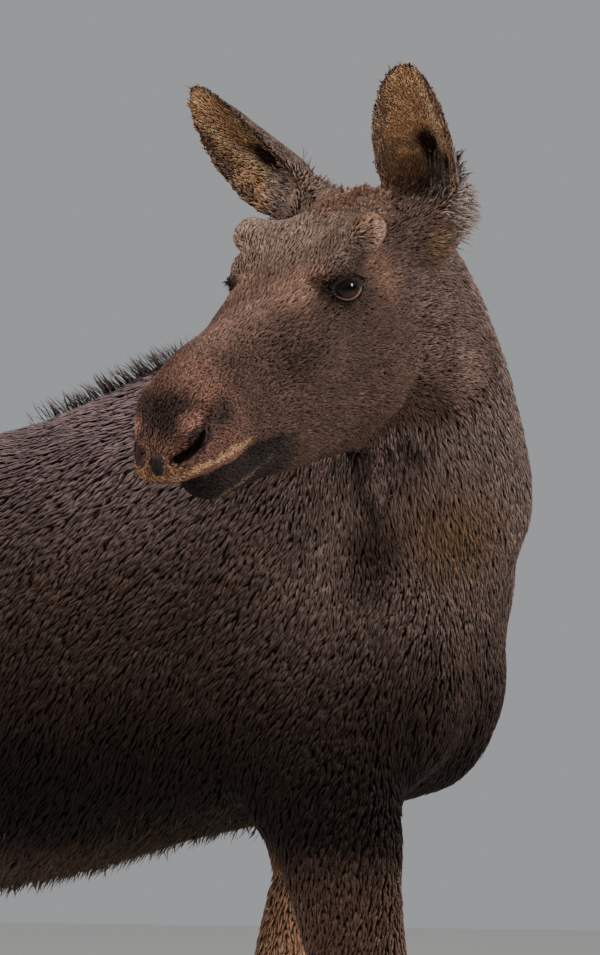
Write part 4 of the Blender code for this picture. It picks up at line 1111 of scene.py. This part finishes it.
# ---- Hide and hair -------------------------------------------------------
# The finish of the bare hide, leathery on the nose and wet at the lids, and of the hair: coarse hollow
# hairs, dull all over, with fine streaks that run from the root of each lock to its point.
class Wire:
    """A socket in a material, on which sums can be written as plain arithmetic."""

    def __init__(self, finish, socket):
        self.finish, self.socket = finish, socket

    def sum(self, kind, other, swapped=False):
        pair = (other, self) if swapped else (self, other)
        return self.finish.add("ShaderNodeMath", {"operation": kind}, pair)

    def __add__(self, other):
        return self.sum("ADD", other)

    def __sub__(self, other):
        return self.sum("SUBTRACT", other)

    def __rsub__(self, other):
        return self.sum("SUBTRACT", other, True)

    def __mul__(self, other):
        return self.sum("MULTIPLY", other)

    __radd__, __rmul__ = __add__, __mul__


class Finish:
    """A material of one Principled surface."""

    def __init__(self, name, **constants):
        self.material = bpy.data.materials.new(name)
        self.material.use_nodes = True
        self.tree = self.material.node_tree
        self.surface = self.tree.nodes["Principled BSDF"]
        for socket, value in constants.items():
            self.surface.inputs[socket.replace("_", " ")].default_value = value

    def add(self, kind, settings, values, output=0):
        """A node of this kind, with its settings first and then the values or wires of its sockets."""
        node = self.tree.nodes.new(kind)
        for setting, value in settings.items():
            setattr(node, setting, value)
        pairs = values.items() if isinstance(values, dict) else enumerate(values)
        for socket, value in pairs:
            if isinstance(value, Wire):
                self.tree.links.new(value.socket, node.inputs[socket])
            else:
                node.inputs[socket].default_value = value
        return Wire(self, node.outputs[output])

    def attribute(self, name, output):
        return self.add("ShaderNodeAttribute", {"attribute_name": name}, {}, output)

    def noise(self, vector, scale, detail=2.0):
        sockets = {"Vector": vector, "Scale": scale, "Detail": detail}
        return self.add("ShaderNodeTexNoise", {}, sockets, "Fac")

    def length(self, vector):
        return self.add("ShaderNodeVectorMath", {"operation": "LENGTH"}, (vector,), "Value")

    def scaled(self, vector, amount):
        """A colour or vector times a number, or times a vector."""
        if isinstance(amount, tuple):
            return self.add("ShaderNodeVectorMath", {"operation": "MULTIPLY"}, (vector, amount))
        return self.add("ShaderNodeVectorMath", {"operation": "SCALE"}, {0: vector, "Scale": amount})

    def bump(self, height, distance, strength=1.0):
        return self.add("ShaderNodeBump", {}, {"Height": height, "Distance": distance, "Strength": strength})

    def feed(self, **wires):
        for socket, wire in wires.items():
            self.tree.links.new(wire.socket, self.surface.inputs[socket.replace("_", " ")])

    def dress(self, piece):
        piece.data.materials.clear()
        piece.data.materials.append(self.material)


hair = Finish("hair", Specular_IOR_Level=0.09)
strand = hair.attribute("strand", "Vector")
streaks = hair.noise(hair.scaled(strand, (2.6, 1.1, 1.0)), 1.0, 1.0)
fine_streaks = hair.noise(hair.scaled(strand, (6.5, 1.6, 3.0)), 1.0, 1.0)
body_place = hair.add("ShaderNodeTexCoord", {}, {}, "Object")
shading = 0.42 + 0.56 * streaks + 0.60 * fine_streaks
dusty = 0.90 + 0.20 * hair.noise(body_place, 55.0, 3.0)
hair.feed(
    Base_Color=hair.scaled(hair.attribute("tone", "Color"), shading * dusty),
    Roughness=0.48 + 0.30 * fine_streaks,
    Normal=hair.bump(streaks + fine_streaks, 0.0010, 0.9),
)

hide = Finish("hide", Specular_IOR_Level=0.15)
place = hide.add("ShaderNodeTexCoord", {}, {}, "Object")
wet = hide.attribute("wet", "Fac")
pores = {"Vector": place, "Scale": 640.0}
pores = hide.add("ShaderNodeTexVoronoi", {"feature": "SMOOTH_F1"}, pores, "Distance")
grain = hide.noise(place, 900.0, 3.0)
blotch = hide.noise(place, 120.0, 3.0)
hide.feed(
    Base_Color=hide.scaled(hide.attribute("tone", "Color"), 0.62 + 0.40 * blotch + 0.30 * grain),
    Roughness=0.80 - 0.46 * wet + 0.12 * grain,
    Normal=hide.bump(grain * (1 - wet) + pores * (0.35 + 0.65 * wet), 0.0006, 0.55),
)

low, tip = hide_colours(skin_places, skin_normals)
tone = 0.55 * low + 0.45 * tip
wetness = np.zeros(len(skin_places))
hide_local = in_head(skin_places)


def stain(share, *shade):
    """Colours the bare hide where share is 1."""
    tone[:] = mix(tone, tint(*shade), share)


pad = 1 - ramp(np.abs(hide_local[:, 1]) - 0.30 * (hide_local[:, 2] + 0.1215), 0.004, 0.008)
pad = pad * ramp(hide_local[:, 0], 0.472, 0.480)
pad = pad * ramp(hide_local[:, 2], -0.1235, -0.121) * ramp(hide_local[:, 2], -0.096, -0.101)
stain(pad, 20, 15, 12)
wetness = np.maximum(wetness, 0.3 * pad)
for side in (1, -1):
    away, share = along_path(hide_local, NOSTRIL, side)
    stain(ramp(away, 0.0110, 0.0070), 26, 17, 15)
    wetness = np.maximum(wetness, 0.3 * ramp(away, 0.008, 0.004))
    away, share = along_path(hide_local, MOUTH, side)
    stain(ramp(away, 0.0030, 0.0015) * ramp(share, 1.0, 0.9), 14, 10, 10)
    far, ring, high = lid_place(hide_local, side)
    close = (far < 0.045) & (hide_local[:, 1] * side > 0)
    stain(close * ramp(ring, 1.35, 1.18), 24, 16, 14)
    stain(close * ramp(ring, 1.13, 1.08) * ramp(ring, 0.99, 1.02) * ramp(high, -0.1, -0.5), 84, 52, 44)
    wetness = np.maximum(wetness, close * ramp(ring, 1.18, 1.05))
mark(skin.data, "tone", with_alpha(tone))
mark(skin.data, "wet", wetness[:, None])
hide.dress(skin)
skin.data.polygons.foreach_set("use_smooth", np.ones(len(skin.data.polygons), bool))
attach(skin, "root")
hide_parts(*flesh)
bpy.data.objects.remove(small)
for piece in coat:
    hair.dress(piece)
    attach(piece, "root")


# ---- Eyes ----------------------------------------------------------------
# Glass eyes set into the lids: a dark brown iris with a wide level pupil behind a clear bulging front, and
# the white just showing at the corners. Each is a ball with its front drawn out, held by the lids.
glass = Finish("eye_glass", Roughness=0.8, Specular_IOR_Level=0.0, Coat_Weight=0.22, Coat_Roughness=0.03)
gaze = glass.attribute("gaze", "Vector")
from_axis = glass.length(glass.scaled(gaze, (1.0, 1.0, 0.0)))
pupil_reach = glass.length(glass.scaled(gaze, (0.62, 1.5, 0.0)))


def band(finish, value, low, high):
    """0 where a wire is at low, 1 where it is at high, and smooth between."""
    smooth = {"interpolation_type": "SMOOTHSTEP"}
    return finish.add("ShaderNodeMapRange", smooth, {0: value, 1: low, 2: high})


def blended(finish, share, first, second):
    """A colour that goes from the first to the second with share."""
    return finish.add("ShaderNodeMix", {"data_type": "RGBA"}, {0: share, 6: first, 7: second}, 2)


def opaque(*shades):
    return (*tint(*shades).tolist(), 1.0)


rays = glass.noise(glass.scaled(gaze, (16.0, 16.0, 3.0)), 1.0, 3.0)
iris = blended(glass, rays, opaque(12, 7, 5), opaque(36, 21, 13))
iris = blended(glass, band(glass, pupil_reach, 0.34, 0.26), iris, opaque(3, 3, 5))
ball = blended(glass, band(glass, from_axis, 0.66, 0.74), iris, opaque(54, 38, 34))
glass.feed(Base_Color=ball)
for side, side_name in ((1, "left"), (-1, "right")):
    bpy.ops.object.select_all(action="DESELECT")
    bpy.ops.mesh.primitive_uv_sphere_add(segments=64, ring_count=40, radius=EYE_RADIUS)
    eye = bpy.context.object
    eye.name = eye.data.name = f"eyeball_{side_name}"
    out = eye_ways(side)[0]
    level = np.array((0.0, 0.0, 1.0))
    fore = np.cross(out, level) * side
    fore /= np.linalg.norm(fore)
    level = np.cross(fore, out) * side
    turn = np.stack((fore, level, out), axis=1)
    balls = read(eye.data)
    axis_share = balls[:, 2] / EYE_RADIUS
    balls *= (1 + 0.015 * ramp(axis_share, 0.62, 0.98))[:, None]
    mark(eye.data, "gaze", balls / EYE_RADIUS)
    write(eye.data, from_head(mirrored(EYE, side) + balls @ turn.T))
    in_edit((bpy.ops.mesh.normals_make_consistent, {"inside": False}))
    bpy.ops.object.shade_smooth()
    glass.dress(eye)
    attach(eye, "root")
    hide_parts(f"eye_{side_name}")


# ---- Hooves and dewclaws -------------------------------------------------
# The horn of the feet: two long pointed claws under each leg and two small dewclaws behind it. Each is
# rounded from its solid, dark and ringed by growth, chipped and dusty toward the ground.
horn = Finish("horn", Specular_IOR_Level=0.2)
horn_place = horn.add("ShaderNodeTexCoord", {}, {}, "Object")
height = horn.add("ShaderNodeSeparateXYZ", {}, (horn_place,), "Z")
wobble = horn.noise(horn_place, 60.0, 3.0)
rings = horn.add("ShaderNodeMath", {"operation": "SINE"}, (height * 1500.0 + 9.0 * wobble,))
scuffs = horn.noise(horn.scaled(horn_place, (1.0, 1.0, 5.0)), 240.0, 4.0)
dust = band(horn, height, 0.030, 0.0)
horn_shade = blended(horn, scuffs, opaque(18, 14, 13), opaque(46, 38, 33))
horn.feed(
    Base_Color=blended(horn, dust * scuffs, horn_shade, opaque(84, 72, 60)),
    Roughness=0.46 + 0.30 * scuffs + 0.2 * dust,
    Normal=horn.bump(0.5 * rings + scuffs, 0.0007, 0.5),
)
for kind in ("claw", "dewclaw"):
    nodes = [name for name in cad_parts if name.startswith(kind + "_")]
    horns = joined_copy(nodes)
    horns.name = horns.data.name = "hooves" if kind == "claw" else "dewclaws"
    in_edit(
        (bpy.ops.mesh.remove_doubles, {"threshold": WELD}),
        (bpy.ops.mesh.tris_convert_to_quads, {}),
        (bpy.ops.mesh.subdivide, {"number_cuts": 2, "smoothness": 0}),
    )
    spots = eased(read(horns.data), edges_of(horns.data), 0.5, 4)
    floor_share = ramp(read(horns.data)[:, 2], 0.012, 0.002)[:, None]
    spots[:, 2:] = spots[:, 2:] * (1 - floor_share) + read(horns.data)[:, 2:] * floor_share
    write(horns.data, spots)
    bpy.ops.object.shade_smooth()
    horn.dress(horns)
    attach(horns, "root")
    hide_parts(*nodes)


# ---- Floor, light and view -----------------------------------------------
# A plain pale floor, a large soft lamp high on the left, a second from behind on the right that edges the
# neck and ears, a small one for the light in the eyes, and the view from low beside the shoulder.
bpy.ops.object.select_all(action="DESELECT")
bpy.ops.mesh.primitive_plane_add(size=14, location=(0, 3, 0))
floor = bpy.context.object
floor.name = "floor"
Finish("paper", Roughness=0.9, Base_Color=opaque(214, 212, 208)).dress(floor)

world = bpy.data.worlds.new("studio")
bpy.context.scene.world = world
world.use_nodes = True
sky = world.node_tree.nodes["Background"].inputs
sky["Color"].default_value = (0.93, 0.96, 1.0, 1)
sky["Strength"].default_value = 0.36

view_turn = math.radians(10)
eye_level = 1.248
distance = 7.0
aim = Vector((WITHERS[0], WITHERS[1], eye_level))
camera_data = bpy.data.cameras.new("camera")
camera = placed("camera", camera_data)
camera.location = aim + Vector((math.sin(view_turn), -math.cos(view_turn), 0)) * distance
camera.rotation_euler = (math.radians(90), 0, view_turn)
camera_data.sensor_fit = "VERTICAL"
camera_data.sensor_height = 36
camera_data.lens = 230.36
bpy.context.scene.camera = camera


def lamp(name, place, size, power, colour=(1, 1, 1)):
    data = bpy.data.lights.new(name, "AREA")
    data.size = size
    data.energy = power
    data.color = colour
    made = placed(name, data)
    made.location = place
    made.rotation_euler = (aim - Vector(place)).to_track_quat("-Z", "Y").to_euler()


lamp("key", (-2.5, -1.5, 4.8), 1.5, 460, (1.0, 0.97, 0.93))
lamp("edge", (3.2, 1.0, 3.6), 1.2, 240, (1.0, 0.96, 0.90))
lamp("glint", (3.5, -1.15, 1.86), 0.72, 130)
